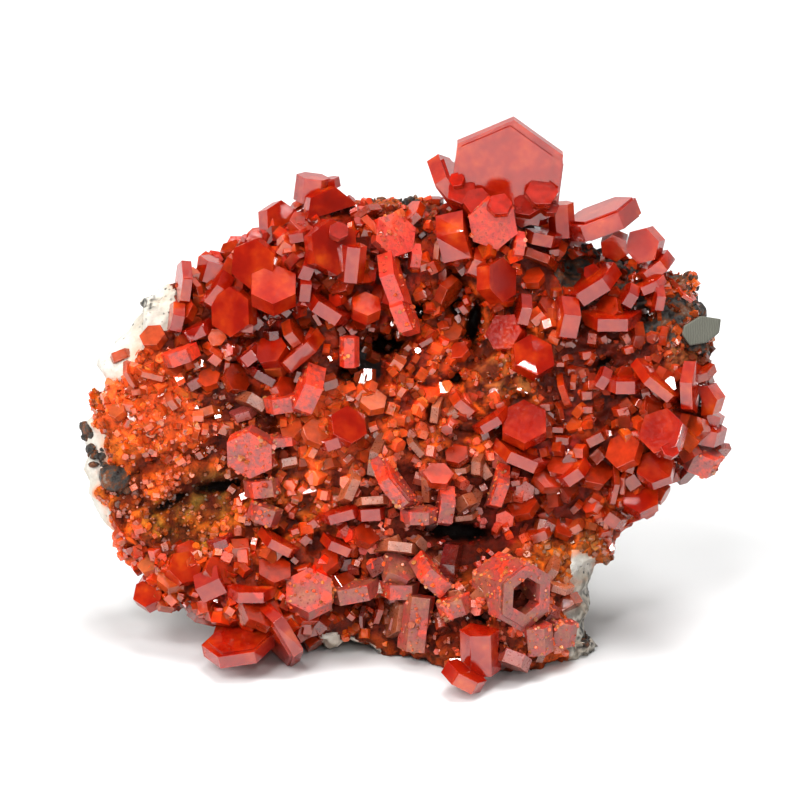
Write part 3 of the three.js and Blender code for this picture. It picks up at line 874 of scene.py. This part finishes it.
def matrix_tints(places, face, crust_gap, rough):
    """Cream, stained near the crusts and grimy in patches."""
    stain = (1 - smooth(crust_gap, *STAIN_REACH)) * (1 - bare_at(face))
    tints = blended(np.array(CREAM), np.array(AMBER), stain * np.clip(0.5 + rough, 0, 1))
    grime = smooth(noise_over(places, GRIME_GRAINS), -0.05, 0.15) * grimy_at(face)
    return blended(tints, np.array(SLATE), grime)


def cut_ground(mesh, materials):
    """Roughens the ground, digs its cavities, and cuts it into the matrix and the crusts."""
    places, normals = arrays_of(mesh)
    polygons = np.zeros(len(mesh.polygons) * 4, dtype=int)
    mesh.polygons.foreach_get("vertices", polygons)
    polygons = polygons.reshape(-1, 4)
    zones = zone_of(places[polygons].mean(1))

    crust_gap = gaps_to(CRUSTS, places)
    covered = smooth(gaps_to([MATRIX], places) - crust_gap, -0.1, 0.4)
    rough = np.array([rough_at(Vector(place)) for place in places])
    plates = np.array([plates_at(Vector(place)) for place in places])
    face = to_face(places)
    deep, dark = cavity_at(face)
    front = smooth(face[:, 2], -4, -1)
    lift = covered * rough + (1 - covered) * plates
    places = places + normals * lift[:, None] * MM
    places = places - np.outer(deep * front, np.array(OUT)) * MM
    for middle, radius, depth in PARED:
        places[:, 0] += depth * inside([(middle, radius)], face, 0.4) * MM
    places[:, 2] = np.maximum(places[:, 2], 0)

    fused = fused_at(face)
    # painted shade: the ground darkens in the hollows between the knobs, less where the crystals are fused,
    # and in the cavities on the face's front
    hollow = HOLLOW_SHADE * covered * smooth(-rough, -0.1, 0.45) * (1 - 0.8 * fused)
    shade = np.maximum(dark * front, hollow)
    crust_tint = crust_tints(places, face, fused, shade, deep)
    matrix_tint = matrix_tints(places, face, crust_gap, rough)

    for zone, name in enumerate([MATRIX, *CRUSTS]):
        used, renumbered = np.unique(polygons[zones == zone], return_inverse=True)
        slot = SLOTS[name]
        tints = matrix_tint if name == MATRIX else crust_tint
        piece_name = "matrix_surface" if name == MATRIX else name.replace("crust_", "ground_")
        faces = renumbered.reshape(-1, 4).tolist()
        piece = new_piece(piece_name, places[used], faces, materials[slot], tints[used])
        piece.data.polygons.foreach_set("use_smooth", [True] * len(faces))
        thicken(piece)
        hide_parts(name)
    return places, polygons, zones, shade


# Small crystals that cover the crusts

PINK_SHARE = 0.5  # of the small crystals that turn a prism face to the front
GLOWING_SHARE = 0.15  # of the small crystals that are half orange, as painted glow
CROWDING = 0.85  # of the densities in GROWTH
SIZE_SPREAD = 0.45
SIZE_LIMIT = 1.7  # times the radius in GROWTH
BRIGHTEST = 0.95  # no colour is lighter than this in red, green or blue
LOOKS = {"mustard_crust": "sandy_crystals", "tan_crust": "sandy_crystals", "coral_druse": "coral_crystals"}


def plant(places, polygons, zones, shade, materials):
    quads = places[polygons]
    normals = np.cross(quads[:, 2] - quads[:, 0], quads[:, 3] - quads[:, 1])
    areas = np.linalg.norm(normals, axis=1) / 2 / MM ** 2
    normals = unit(normals) @ TURN
    middles = quads.mean(1)
    face = to_face(middles)
    _, tint, radius, density = growth_at(face)
    # dark: the ground's painted shade at each spot, which thins out and darkens the crystals planted there
    dark = shade[polygons].mean(1)
    black = black_at(face)
    fused = fused_at(face)
    density = CROWDING * density * (1 - 0.7 * dark) * (1 - 0.6 * black)
    density = density * smooth(middles[:, 2] / MM, 1.2, 2.4)
    for zone, name in enumerate(CRUSTS, start=1):
        own = np.flatnonzero(zones == zone)
        share = areas[own] * density[own]
        chosen = RANDOM.choice(own, int(share.sum()), p=share / share.sum())
        slot = SLOTS[name]
        look = materials[LOOKS.get(slot, "small_crystals")]
        columns = (face, normals, radius, tint, dark, fused)
        rows = scattered(*[column[chosen] for column in columns])
        build_crystals(name.replace("crust_", "druse_"), look, slot, *rows)


def scattered(places, normals, radius, tint, dark, fused):
    """Crystals at random turns, some of them with a prism face that looks out and a little down."""
    count = len(places)
    rim = 1 - smooth(normals[:, 2], 0.1, 0.5)
    radii = radius * np.minimum(RANDOM.lognormal(-0.1, SIZE_SPREAD, count), SIZE_LIMIT) * (1 - 0.35 * rim)
    depths = radii * RANDOM.uniform(0.7, 1.7, count)
    upright = unit(normals + 0.9 * RANDOM.normal(0, 1, (count, 3)))
    lying = in_face(RANDOM.uniform(0, 360, count), RANDOM.uniform(-28, 28, count))
    shown = (RANDOM.random(count) < PINK_SHARE)[:, None]
    axes = np.where(shown, lying, upright)
    looking = square_to(in_face(np.full(count, -90.0), 90 - RANDOM.uniform(0, 45, count)), axes)
    corners = np.where(shown, corner_beside(looking, axes), RANDOM.normal(0, 1, (count, 3)))
    bright = RANDOM.lognormal(-0.05, 0.28, count)[:, None]
    glow = (RANDOM.random(count) < GLOWING_SHARE)[:, None]
    # painted shade: crystals darken where the ground under them is shaded; the glowing ones are half orange as
    # painted glow
    tints = np.where(glow, 0.5 * tint + 0.5 * np.array(ORANGE), tint) * bright * (1 - 0.65 * dark[:, None])
    stand = (RANDOM.uniform(-0.5, 0.35, count) - 0.35 * rim - 0.4 * fused) * radii
    return places + normals * stand[:, None], axes, corners, radii, depths, np.clip(tints, 0, BRIGHTEST)


# Medium crystals. An edge crystal shows a prism face: across, up, its radius, its thickness, its direction.
# A tablet shows its cap: across, up, its radius, its thickness, where in the face it leans, and its rise.

EDGES = {
    "red": [
        (3.6, 49.4, 0.8, 0.7, 0), (4.1, 41.7, 1.8, 1.2, 86), (4.0, 40.0, 1.8, 1.0, 55),
        (13.7, 43.9, 2.4, 0.9, -20), (15.9, 44.0, 1.2, 0.9, 60), (9.8, 38.8, 1.0, 0.9, 20),
        (13.7, 34.0, 1.0, 0.9, 70), (2.6, 35.2, 1.4, 0.6, 35), (23.8, 35.2, 1.6, 1.1, 88),
        (19.1, 35.6, 1.1, 0.9, 80), (18.7, 33.9, 0.9, 0.8, 10), (19.0, 33.2, 0.8, 0.5, 60),
        (17.2, 32.2, 0.9, 0.8, -5), (17.2, 30.9, 0.9, 0.6, 84), (19.3, 31.0, 1.1, 0.9, 0),
        (18.6, 29.9, 1.0, 0.9, 5), (16.5, 33.7, 0.7, 0.6, 20), (16.0, 33.0, 0.8, 0.5, 0),
        (22.8, 34.4, 0.8, 0.7, 20), (24.8, 33.6, 0.7, 0.6, 0), (24.7, 32.6, 0.6, 0.6, 30),
        (26.1, 35.4, 1.1, 0.8, 80), (18.7, 28.5, 0.9, 0.7, 0), (22.2, 28.3, 1.1, 0.9, 20),
        (21.9, 27.3, 0.9, 0.8, 0), (16.3, 30.0, 2.0, 0.7, -72), (27.4, 31.8, 1.1, 0.9, 40),
        (29.9, 31.6, 1.8, 0.9, 20), (27.9, 26.3, 1.5, 0.9, 76), (27.2, 24.9, 1.6, 0.9, 42),
        (27.0, 21.5, 1.9, 1.0, 20), (25.9, 20.1, 1.1, 0.9, 60), (21.4, 20.1, 2.4, 0.6, 86),
        (22.1, 20.9, 1.7, 0.5, 84), (19.4, 25.5, 1.7, 1.0, 30), (16.2, 20.8, 0.9, 0.7, -50),
        (22.9, 23.0, 1.6, 1.0, 70), (23.9, 22.7, 0.9, 0.6, 50), (17.5, 18.6, 1.0, 0.7, 40),
        (19.3, 18.3, 0.8, 0.6, 10), (15.7, 26.5, 1.1, 0.6, -4), (16.1, 25.4, 1.3, 0.8, -4),
        (16.1, 28.1, 1.2, 0.5, -76), (14.4, 17.9, 1.1, 0.7, 20), (13.9, 15.8, 1.5, 1.0, 20),
        (14.8, 16.6, 1.5, 1.0, 62), (-10.3, 49.2, 0.8, 0.7, 30), (-12.2, 45.8, 1.7, 0.7, -55),
        (-3.3, 45.7, 1.1, 0.9, 80), (-1.5, 44.9, 2.7, 0.8, -57), (-3.8, 48.1, 1.8, 0.8, 35),
        (1.3, 47.4, 1.7, 0.9, 47), (-17.0, 42.7, 1.8, 1.3, 60), (-19.8, 40.1, 1.5, 0.6, -70),
        (-18.8, 40.5, 1.0, 0.8, -65), (-15.0, 36.2, 0.9, 0.8, 0), (-18.2, 34.2, 1.4, 0.5, -35),
        (-13.3, 42.2, 2.1, 1.5, 12), (-8.5, 43.3, 1.5, 0.5, -70), (-13.2, 39.2, 1.9, 1.3, 8),
        (-8.2, 37.4, 1.3, 0.5, -62), (-12.8, 37.3, 0.8, 0.6, 40), (-4.9, 39.0, 1.2, 1.0, 40),
        (-4.2, 38.0, 0.9, 0.7, -40), (-10.6, 35.4, 1.6, 1.1, -60), (-17.2, 32.5, 1.4, 0.5, 84),
        (-9.0, 20.5, 1.4, 0.5, 12), (-9.0, 16.9, 1.8, 0.8, 35), (-11.1, 18.8, 0.8, 0.6, 50),
        (-10.8, 18.0, 0.7, 0.6, 70), (-10.8, 20.3, 0.8, 0.6, 10), (-15.6, 19.9, 0.8, 0.7, 20),
        (-15.3, 17.9, 0.7, 0.6, 60), (-15.2, 17.2, 0.7, 0.5, 0), (-10.4, 16.4, 0.8, 0.6, 20),
        (-9.4, 15.5, 1.0, 0.9, 50), (-19.5, 7.5, 2.0, 1.2, -15), (-8.0, 6.8, 1.2, 1.2, 50),
        (-8.9, 5.5, 1.2, 1.1, 35), (-9.6, 12.4, 1.0, 0.9, 20), (-7.8, 11.8, 1.4, 0.7, 20),
        (-6.8, 10.8, 2.0, 1.5, 35), (-4.6, 8.7, 0.8, 0.5, 40), (-2.9, 8.5, 0.7, 0.4, -30),
        (-4.9, 7.8, 0.8, 0.6, -40), (-2.1, 7.8, 1.8, 0.6, 80), (-0.6, 7.0, 1.3, 1.0, 70),
        (6.4, 28.6, 2.0, 1.1, -45), (10.0, 28.9, 0.9, 0.7, 20), (13.0, 28.6, 1.1, 0.9, -8),
        (11.5, 21.2, 0.9, 0.6, 12), (3.2, 22.9, 0.8, 0.8, 0), (24.0, 29.0, 1.1, 0.8, -30),
        (-13.0, 44.6, 1.0, 0.6, 30), (-16.9, 44.0, 1.2, 0.9, 15), (17.6, 39.0, 0.9, 0.6, 40),
        (27.6, 41.0, 1.3, 0.5, -45), (28.7, 39.6, 1.2, 0.4, -40), (-22.7, 14.6, 1.0, 0.7, 30),
        (-26.9, 14.4, 1.0, 0.7, 20), (-25.4, 10.9, 1.1, 0.8, 60), (-23.5, 8.7, 1.2, 0.8, -20),
        (-20.9, 8.6, 1.1, 0.8, 30), (-16.2, 14.6, 1.3, 0.9, 10),
    ],
    "plum": [
        (-11.2, 39.4, 2.0, 1.0, -4), (27.7, 24.3, 1.2, 1.1, 0), (-17.8, 15.0, 1.4, 1.1, 20),
        (4.7, 12.3, 2.3, 1.5, 84), (28.3, 22.1, 1.2, 0.7, 40), (-13.4, 31.6, 2.1, 0.9, -30),
    ],
    "coral": [
        (-26.9, 31.5, 1.7, 0.5, -65), (-24.6, 31.8, 2.2, 0.6, -15), (-26.2, 30.3, 0.9, 0.6, 10),
        (-21.0, 34.2, 1.2, 0.7, 30), (3.6, 44.2, 1.5, 0.6, 80), (-28.0, 34.0, 1.4, 1.0, 20),
        (-22.6, 29.0, 1.1, 0.8, -60), (-19.2, 28.4, 1.3, 0.9, 15), (-24.9, 26.8, 0.9, 0.6, 30),
        (-20.3, 26.0, 0.9, 0.6, 70), (20.6, 17.4, 1.6, 0.5, 84), (16.5, 9.3, 1.5, 1.2, 30),
        (5.5, 3.4, 1.2, 1.2, 0), (17.6, 16.6, 1.0, 0.8, 30),
    ],
    "peach": [
        (6.4, 17.7, 1.7, 0.6, 5), (6.0, 19.2, 1.3, 1.3, 30), (7.1, 18.9, 1.4, 1.1, 60),
        (7.5, 22.7, 1.3, 1.0, 84), (8.5, 22.3, 1.4, 1.0, -60), (6.0, 22.4, 1.1, 0.6, 8),
        (2.5, 20.5, 2.4, 0.8, 84), (-0.8, 15.3, 1.3, 1.2, 20), (0.0, 15.0, 2.5, 1.0, -6),
        (-1.8, 10.9, 1.5, 1.3, 0), (-2.7, 19.6, 2.2, 0.8, 4), (-4.7, 20.6, 2.3, 1.0, 70),
        (-2.7, 23.2, 2.5, 1.0, 76), (0.2, 7.8, 2.7, 0.9, 86), (3.3, 13.0, 1.4, 1.0, 50),
        (2.3, 15.2, 1.4, 1.0, -40), (5.6, 10.2, 1.3, 1.1, 10), (7.6, 10.3, 1.4, 1.1, 40),
        (6.6, 9.5, 1.3, 1.0, -30), (9.1, 12.6, 2.2, 0.5, 60), (13.9, 3.9, 0.9, 0.8, 80),
        (5.3, 28.0, 1.0, 1.0, 40), (3.4, 28.0, 1.6, 0.8, 80), (-14.2, 29.3, 1.9, 1.2, -30),
        (23.9, 19.1, 1.4, 0.9, 0), (22.0, 18.9, 0.9, 0.8, 30), (-11.0, 23.4, 1.5, 0.9, 10),
        (1.6, 24.6, 1.8, 0.7, -50), (14.9, 11.9, 1.8, 0.9, 60), (15.8, 10.6, 1.5, 0.8, -20),
    ],
    "mauve": [
        (-2.3, 12.9, 1.8, 1.4, 30), (-5.4, 13.0, 1.3, 1.2, 10), (-3.9, 7.3, 1.3, 0.4, 84),
        (9.5, 3.8, 1.3, 1.1, 30), (11.2, 4.2, 2.0, 1.4, -20), (15.0, 7.7, 1.1, 1.0, 60),
        (31.4, 24.6, 1.6, 0.7, 20), (-20.4, 31.0, 1.3, 1.0, 30), (-15.6, 27.8, 1.5, 0.9, 20),
        (3.0, 17.0, 1.2, 1.0, 40),
    ],
}

TABLETS = {
    "red": [
        (15.2, 39.2, 1.4, 1.0, 60, 55), (5.8, 34.5, 1.1, 0.9, 120, 50), (-19.7, 43.6, 1.0, 0.8, 150, 45),
        (-19.0, 31.8, 1.2, 0.9, 100, 55), (-16.0, 31.8, 1.6, 1.1, 30, 50), (3.8, 22.3, 1.5, 1.0, 80, 52),
        (-20.8, 14.2, 1.6, 1.1, 60, 50), (-16.3, 6.6, 2.6, 1.3, 95, 50), (-11.1, 30.6, 1.5, 1.2, 20, 45),
        (25.4, 28.8, 1.5, 1.0, 30, 55), (22.0, 24.6, 2.0, 1.2, 140, 50), (19.5, 22.6, 1.9, 1.2, 60, 52),
        (16.0, 23.4, 1.7, 1.1, 110, 50), (24.3, 31.8, 1.2, 0.9, 70, 50), (-3.4, 42.4, 1.5, 1.0, 20, 48),
        (-6.2, 41.4, 1.7, 1.1, 150, 50), (-16.6, 40.7, 1.4, 1.0, 140, 52), (-9.6, 47.2, 1.4, 1.0, 60, 45),
        (1.2, 45.2, 1.5, 1.0, 60, 50), (-17.8, 12.6, 1.7, 1.1, 45, 50), (-12.4, 12.8, 1.8, 1.2, 80, 50),
        (-7.4, 13.6, 1.5, 1.0, 120, 50), (-3.2, 16.3, 1.4, 1.0, 60, 50), (14.9, 22.0, 1.7, 1.1, 70, 50),
        (12.1, 19.2, 1.6, 1.1, 120, 48), (16.6, 16.9, 1.3, 0.9, 60, 50), (28.9, 24.6, 1.4, 0.9, 100, 50),
        (22.6, 31.9, 1.2, 0.9, 30, 50), (-1.6, 42.9, 1.4, 1.0, 150, 50), (-13.6, 9.0, 2.2, 1.2, 60, 45),
        (18.0, 45.2, 1.4, 1.0, 30, 40), (20.5, 38.6, 1.6, 1.0, 150, 45), (13.2, 42.0, 1.3, 0.9, 100, 45),
        (-21.8, 38.6, 1.5, 1.0, 140, 45), (-9.2, 9.0, 1.8, 1.0, 40, 48), (5.6, 24.2, 1.3, 0.9, 100, 50),
    ],
    "coral": [
        (5.0, 36.4, 1.3, 1.0, 90, 55), (-24.7, 36.0, 1.4, 1.0, 120, 50), (-22.8, 12.0, 1.6, 1.1, 90, 50),
        (-25.2, 13.2, 1.2, 0.9, 120, 48), (-23.3, 9.8, 1.4, 1.0, 60, 45),
        (-12.4, 33.6, 1.6, 1.2, 110, 48), (-8.2, 26.4, 1.5, 1.0, 60, 55),
        (-10.8, 26.8, 1.3, 1.0, 130, 50), (-2.6, 29.6, 1.4, 1.0, 80, 52), (12.6, 34.9, 1.5, 1.0, 50, 52),
        (-28.2, 28.6, 1.0, 0.8, 130, 50), (-22.4, 33.0, 1.1, 0.9, 60, 50),
    ],
}

# Tablets that sit on the large crystals instead of the ground
RIDERS = [
    (6.1, 50.3, 1.5, 0.9, 100, 62), (7.6, 49.3, 1.6, 0.9, 80, 63), (9.8, 48.8, 1.3, 0.8, 90, 62),
    (14.0, 50.2, 1.8, 1.0, 78, 62), (12.6, 49.0, 1.4, 0.9, 100, 63), (5.6, 51.4, 0.9, 0.7, 115, 58),
    (14.9, 48.9, 1.1, 0.8, 60, 56), (-6.0, 46.2, 1.0, 0.7, 70, 60), (19.2, 42.3, 1.0, 0.8, 110, 58),
    (-14.0, 7.4, 1.0, 0.8, 110, 58), (26.6, 24.6, 0.9, 0.7, 70, 60), (12.6, 36.4, 0.9, 0.7, 110, 58),
]

# Colours of the medium crystals. Peach and mauve, on the coated crystals low on the face, are their own
# colours darkened as painted shade.
FINISHES_AND_SHADE = {
    "red": SCARLET,
    "plum": PLUM,
    "coral": CORAL,
    "peach": (0.40, 0.115, 0.05),
    "mauve": (0.26, 0.05, 0.042),
}
COATED = ("peach", "mauve")
MEDIUM_BEVEL = 0.035
WELL_OUT = 60  # mm out of the face, past every crystal
RIM_HEIGHT = -2.0


def height_of(ground, across, up):
    """How far out the ground lies at a place on the face. Past its edge that is the rim's height."""
    hit = ground.ray_cast(Vector((across, up, WELL_OUT)), Vector((0, 0, -1)))[0]
    return hit.z if hit else RIM_HEIGHT


def edge_row(ground, across, up, radius, thickness, direction):
    rise = RANDOM.choice([-1, 1]) * RANDOM.uniform(10, 24)
    axis = in_face(direction + 90.0, rise)
    looking = square_to(in_face(-90.0, 90 - RANDOM.uniform(8, 34)), axis)
    out = height_of(ground, across, up) + radius * RANDOM.uniform(0.3, 0.6) + 0.2
    centre = np.array([across, up, out]) - looking * radius * math.cos(math.pi / 6)
    return centre, axis, corner_beside(looking, axis), radius, thickness


def tablet_row(ground, across, up, radius, thickness, turn, rise):
    axis = in_face(float(turn), float(rise))
    out = height_of(ground, across, up) + radius * RANDOM.uniform(0.3, 0.55) + 0.15
    centre = np.array([across, up, out]) - axis * thickness / 2
    return centre, axis, in_face(RANDOM.uniform(60.0, 120.0), 0.0), radius, thickness


def large_crystals():
    """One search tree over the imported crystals, in the face's millimetres."""
    corners = []
    faces = []
    for name in SLOTS:
        if name == MATRIX or name in CRUSTS:
            continue
        mesh = frame["nodes"][name].data
        start = len(corners)
        corners += to_face(np.array([list(vert.co) for vert in mesh.vertices])).tolist()
        faces += [[start + index for index in polygon.vertices] for polygon in mesh.polygons]
    return BVHTree.FromPolygons(corners, faces)


def columns_and_tints(rows, tint):
    """One array for each column of the rows, and for each row a tint a little off the given one."""
    columns = [np.array(column) for column in zip(*rows)]
    return columns, np.array(tint) * RANDOM.lognormal(0, 0.2, (len(rows), 1))


def place_riders(materials):
    crystals = large_crystals()
    columns, tints = columns_and_tints([tablet_row(crystals, *rider) for rider in RIDERS], RED)
    look = materials["medium_crystals"]
    build_crystals("riding_tablets", look, "vanadinite", *columns, tints, 0.12, MEDIUM_BEVEL)


def place_medium(places, polygons, materials):
    ground = BVHTree.FromPolygons(to_face(places).tolist(), polygons.tolist())
    for finish, tint in FINISHES_AND_SHADE.items():
        rows = [edge_row(ground, *edge) for edge in EDGES[finish]]
        rows += [tablet_row(ground, *tablet) for tablet in TABLETS.get(finish, [])]
        columns, tints = columns_and_tints(rows, tint)
        look = materials["sandy_crystals" if finish in COATED else "medium_crystals"]
        slot = "coated_vanadinite" if finish in COATED else "vanadinite"
        build_crystals(f"medium_{finish}", look, slot, *columns, np.clip(tints, 0, 0.9), 0.05, MEDIUM_BEVEL)


# Fine grains: black ones on the matrix's rim, and sandy ones that frost the coated crystals

GRAIN_SUBDIVISIONS = 2
GRAIN_RADIUS = 0.22
GRAINS_BACK = -8  # mm out of the face; no black grains lie further back


def knobbly_grain():
    """Places and faces of a unit ball of manganese oxide."""
    ball = bmesh.new()
    bmesh.ops.create_icosphere(ball, subdivisions=GRAIN_SUBDIVISIONS, radius=1)
    places = np.array([list(vert.co * (1 + 0.25 * noise.noise(vert.co * 2))) for vert in ball.verts])
    faces = [[vert.index for vert in face.verts] for face in ball.faces]
    ball.free()
    return places, faces


def place_black_grains(places, polygons, materials, per_square=6.5):
    middles = places[polygons].mean(1)
    face = to_face(middles)
    weight = black_at(face) * (face[:, 2] > GRAINS_BACK)
    count = int(weight.sum() * (VOXEL ** 2) * per_square)
    chosen = RANDOM.choice(len(weight), count, p=weight / weight.sum())
    ball, faces = knobbly_grain()
    radii = GRAIN_RADIUS * RANDOM.lognormal(0, 0.5, (count, 1)) * RANDOM.uniform(0.6, 1.3, (count, 3))
    spots = face[chosen] + RANDOM.normal(0, 0.12, (count, 3))
    turned = np.stack([ball[:, RANDOM.permutation(3)] for _ in range(count)])
    rows = spots[:, None] + turned * radii[:, None]
    rows = on_floor(rows)
    polygons = repeated(faces, count, len(ball))
    look = materials["manganese_oxide"]
    new_piece("manganese_grains", rows, polygons, look, np.full((len(rows), 3), SLATE))


FROST_PATCHES = 500  # to a metre
FROST_TINTS = [PEACH, SALMON, TAN, CORAL]
FROST_RADIUS = 0.13


def place_frost(materials, per_square=2.6):
    """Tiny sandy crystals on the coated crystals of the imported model."""
    spots = []
    normals = []
    for name, slot in SLOTS.items():
        if slot != "coated_vanadinite":
            continue
        mesh = frame["nodes"][name].data
        for polygon in mesh.polygons:
            corners = np.array([list(mesh.vertices[index].co) for index in polygon.vertices])
            share = RANDOM.poisson(polygon.area / MM ** 2 * per_square)
            for _ in range(share):
                spots.append(RANDOM.dirichlet(np.ones(len(corners))) @ corners)
                normals.append(list(polygon.normal))
    face = to_face(np.array(spots))
    patch = noise_over(spots, FROST_PATCHES)
    height = np.array(spots)[:, 2] / MM
    kept = patch > RANDOM.uniform(-0.6, 0.5, len(patch)) + 0.5 * smooth(height, 22, 34)
    face, normals = face[kept], np.array(normals)[kept] @ TURN
    count = len(face)
    radii = FROST_RADIUS * RANDOM.lognormal(0, 0.4, count)
    axes = unit(normals + 0.6 * RANDOM.normal(0, 1, (count, 3)))
    tints = np.array(FROST_TINTS)[RANDOM.integers(0, len(FROST_TINTS), count)]
    tints = tints * RANDOM.lognormal(0, 0.25, (count, 1))
    build_crystals("frost", materials["sandy_crystals"], "coated_vanadinite", face, axes,
                   RANDOM.normal(0, 1, (count, 3)), radii, radii * 1.2, np.clip(tints, 0, 0.9))


CLEAVAGE = [(28.1, 36.0), (28.3, 36.9), (30.0, 37.9), (32.1, 37.6), (31.9, 36.2), (30.6, 35.2), (28.9, 34.9)]
CLEAVAGE_THICKNESS = 3.5
CLEAVAGE_SLOPE = 0.25  # how fast it comes forward to the left


def place_cleavage(materials):
    """The flat grey cleavage face of a baryte blade in the right fringe."""
    front = [world(across, up, 0.3 + CLEAVAGE_SLOPE * (32 - across)) for across, up in CLEAVAGE]
    back = [place - OUT * CLEAVAGE_THICKNESS * MM for place in front]
    places = np.array([list(place) for place in front + back])
    faces = prism_faces(len(CLEAVAGE))
    tints = np.full((len(places), 3), SLATE)
    piece = new_piece("cleavage_blade", places, faces, materials["cleavage"], tints)
    wear(piece, 0.15, 2)


# Scene

add_camera()
set_world()
add_floor()
add_lamps()

# name, then roughness, size of the grains in mm and depth of the bumps in mm
GROUND_LOOKS = {
    "red_druse": (0.2, 0.5, 0.12),
    "coral_druse": (0.25, 0.35, 0.14),
    "brown_druse": (0.25, 0.4, 0.12),
    "tan_crust": (0.45, 0.3, 0.14),
    "mustard_crust": (0.45, 0.25, 0.12),
}
# name, then roughness, depth of the bumps in mm, transmission and scattering
CRYSTAL_LOOKS = {
    "medium_crystals": (0.07, 0.008, 0.5, 0.2),
    "small_crystals": (0.06, 0.005, 0.3, 0.2),
    "coral_crystals": (0.06, 0.006, 0.0, 0.6),
    "sandy_crystals": (0.25, 0.03, 0.0, 0.2),
}

SLOTS = {part["node"]: part["material_slot"] for part in frame["record"]["subparts"]}
MATERIALS = {
    "vanadinite": vanadinite_material(),
    "coated_vanadinite": coated_material(),
    "baryte": baryte_material(),
    "manganese_oxide": manganese_material(),
    "cleavage": cleavage_material(),
}
for name, values in GROUND_LOOKS.items():
    MATERIALS[name] = ground_material(name, *values)
for name, values in CRYSTAL_LOOKS.items():
    MATERIALS[name] = grown_material(name, *values)

GROUND = cut_ground(remeshed_ground(), MATERIALS)
plant(*GROUND, MATERIALS)
place_medium(GROUND[0], GROUND[1], MATERIALS)
place_riders(MATERIALS)
place_black_grains(GROUND[0], GROUND[1], MATERIALS)
place_frost(MATERIALS)
place_cleavage(MATERIALS)

for name, node in frame["nodes"].items():
    node.data.materials.clear()
    node.data.materials.append(MATERIALS[SLOTS[name]])
    if name != MATRIX and name not in CRUSTS:
        weld = node.modifiers.new("weld", "WELD")
        weld.merge_threshold = 0.001 * MM
        edges = wear(node, 0.05)
        edges.limit_method = "ANGLE"
        edges.angle_limit = math.radians(25)
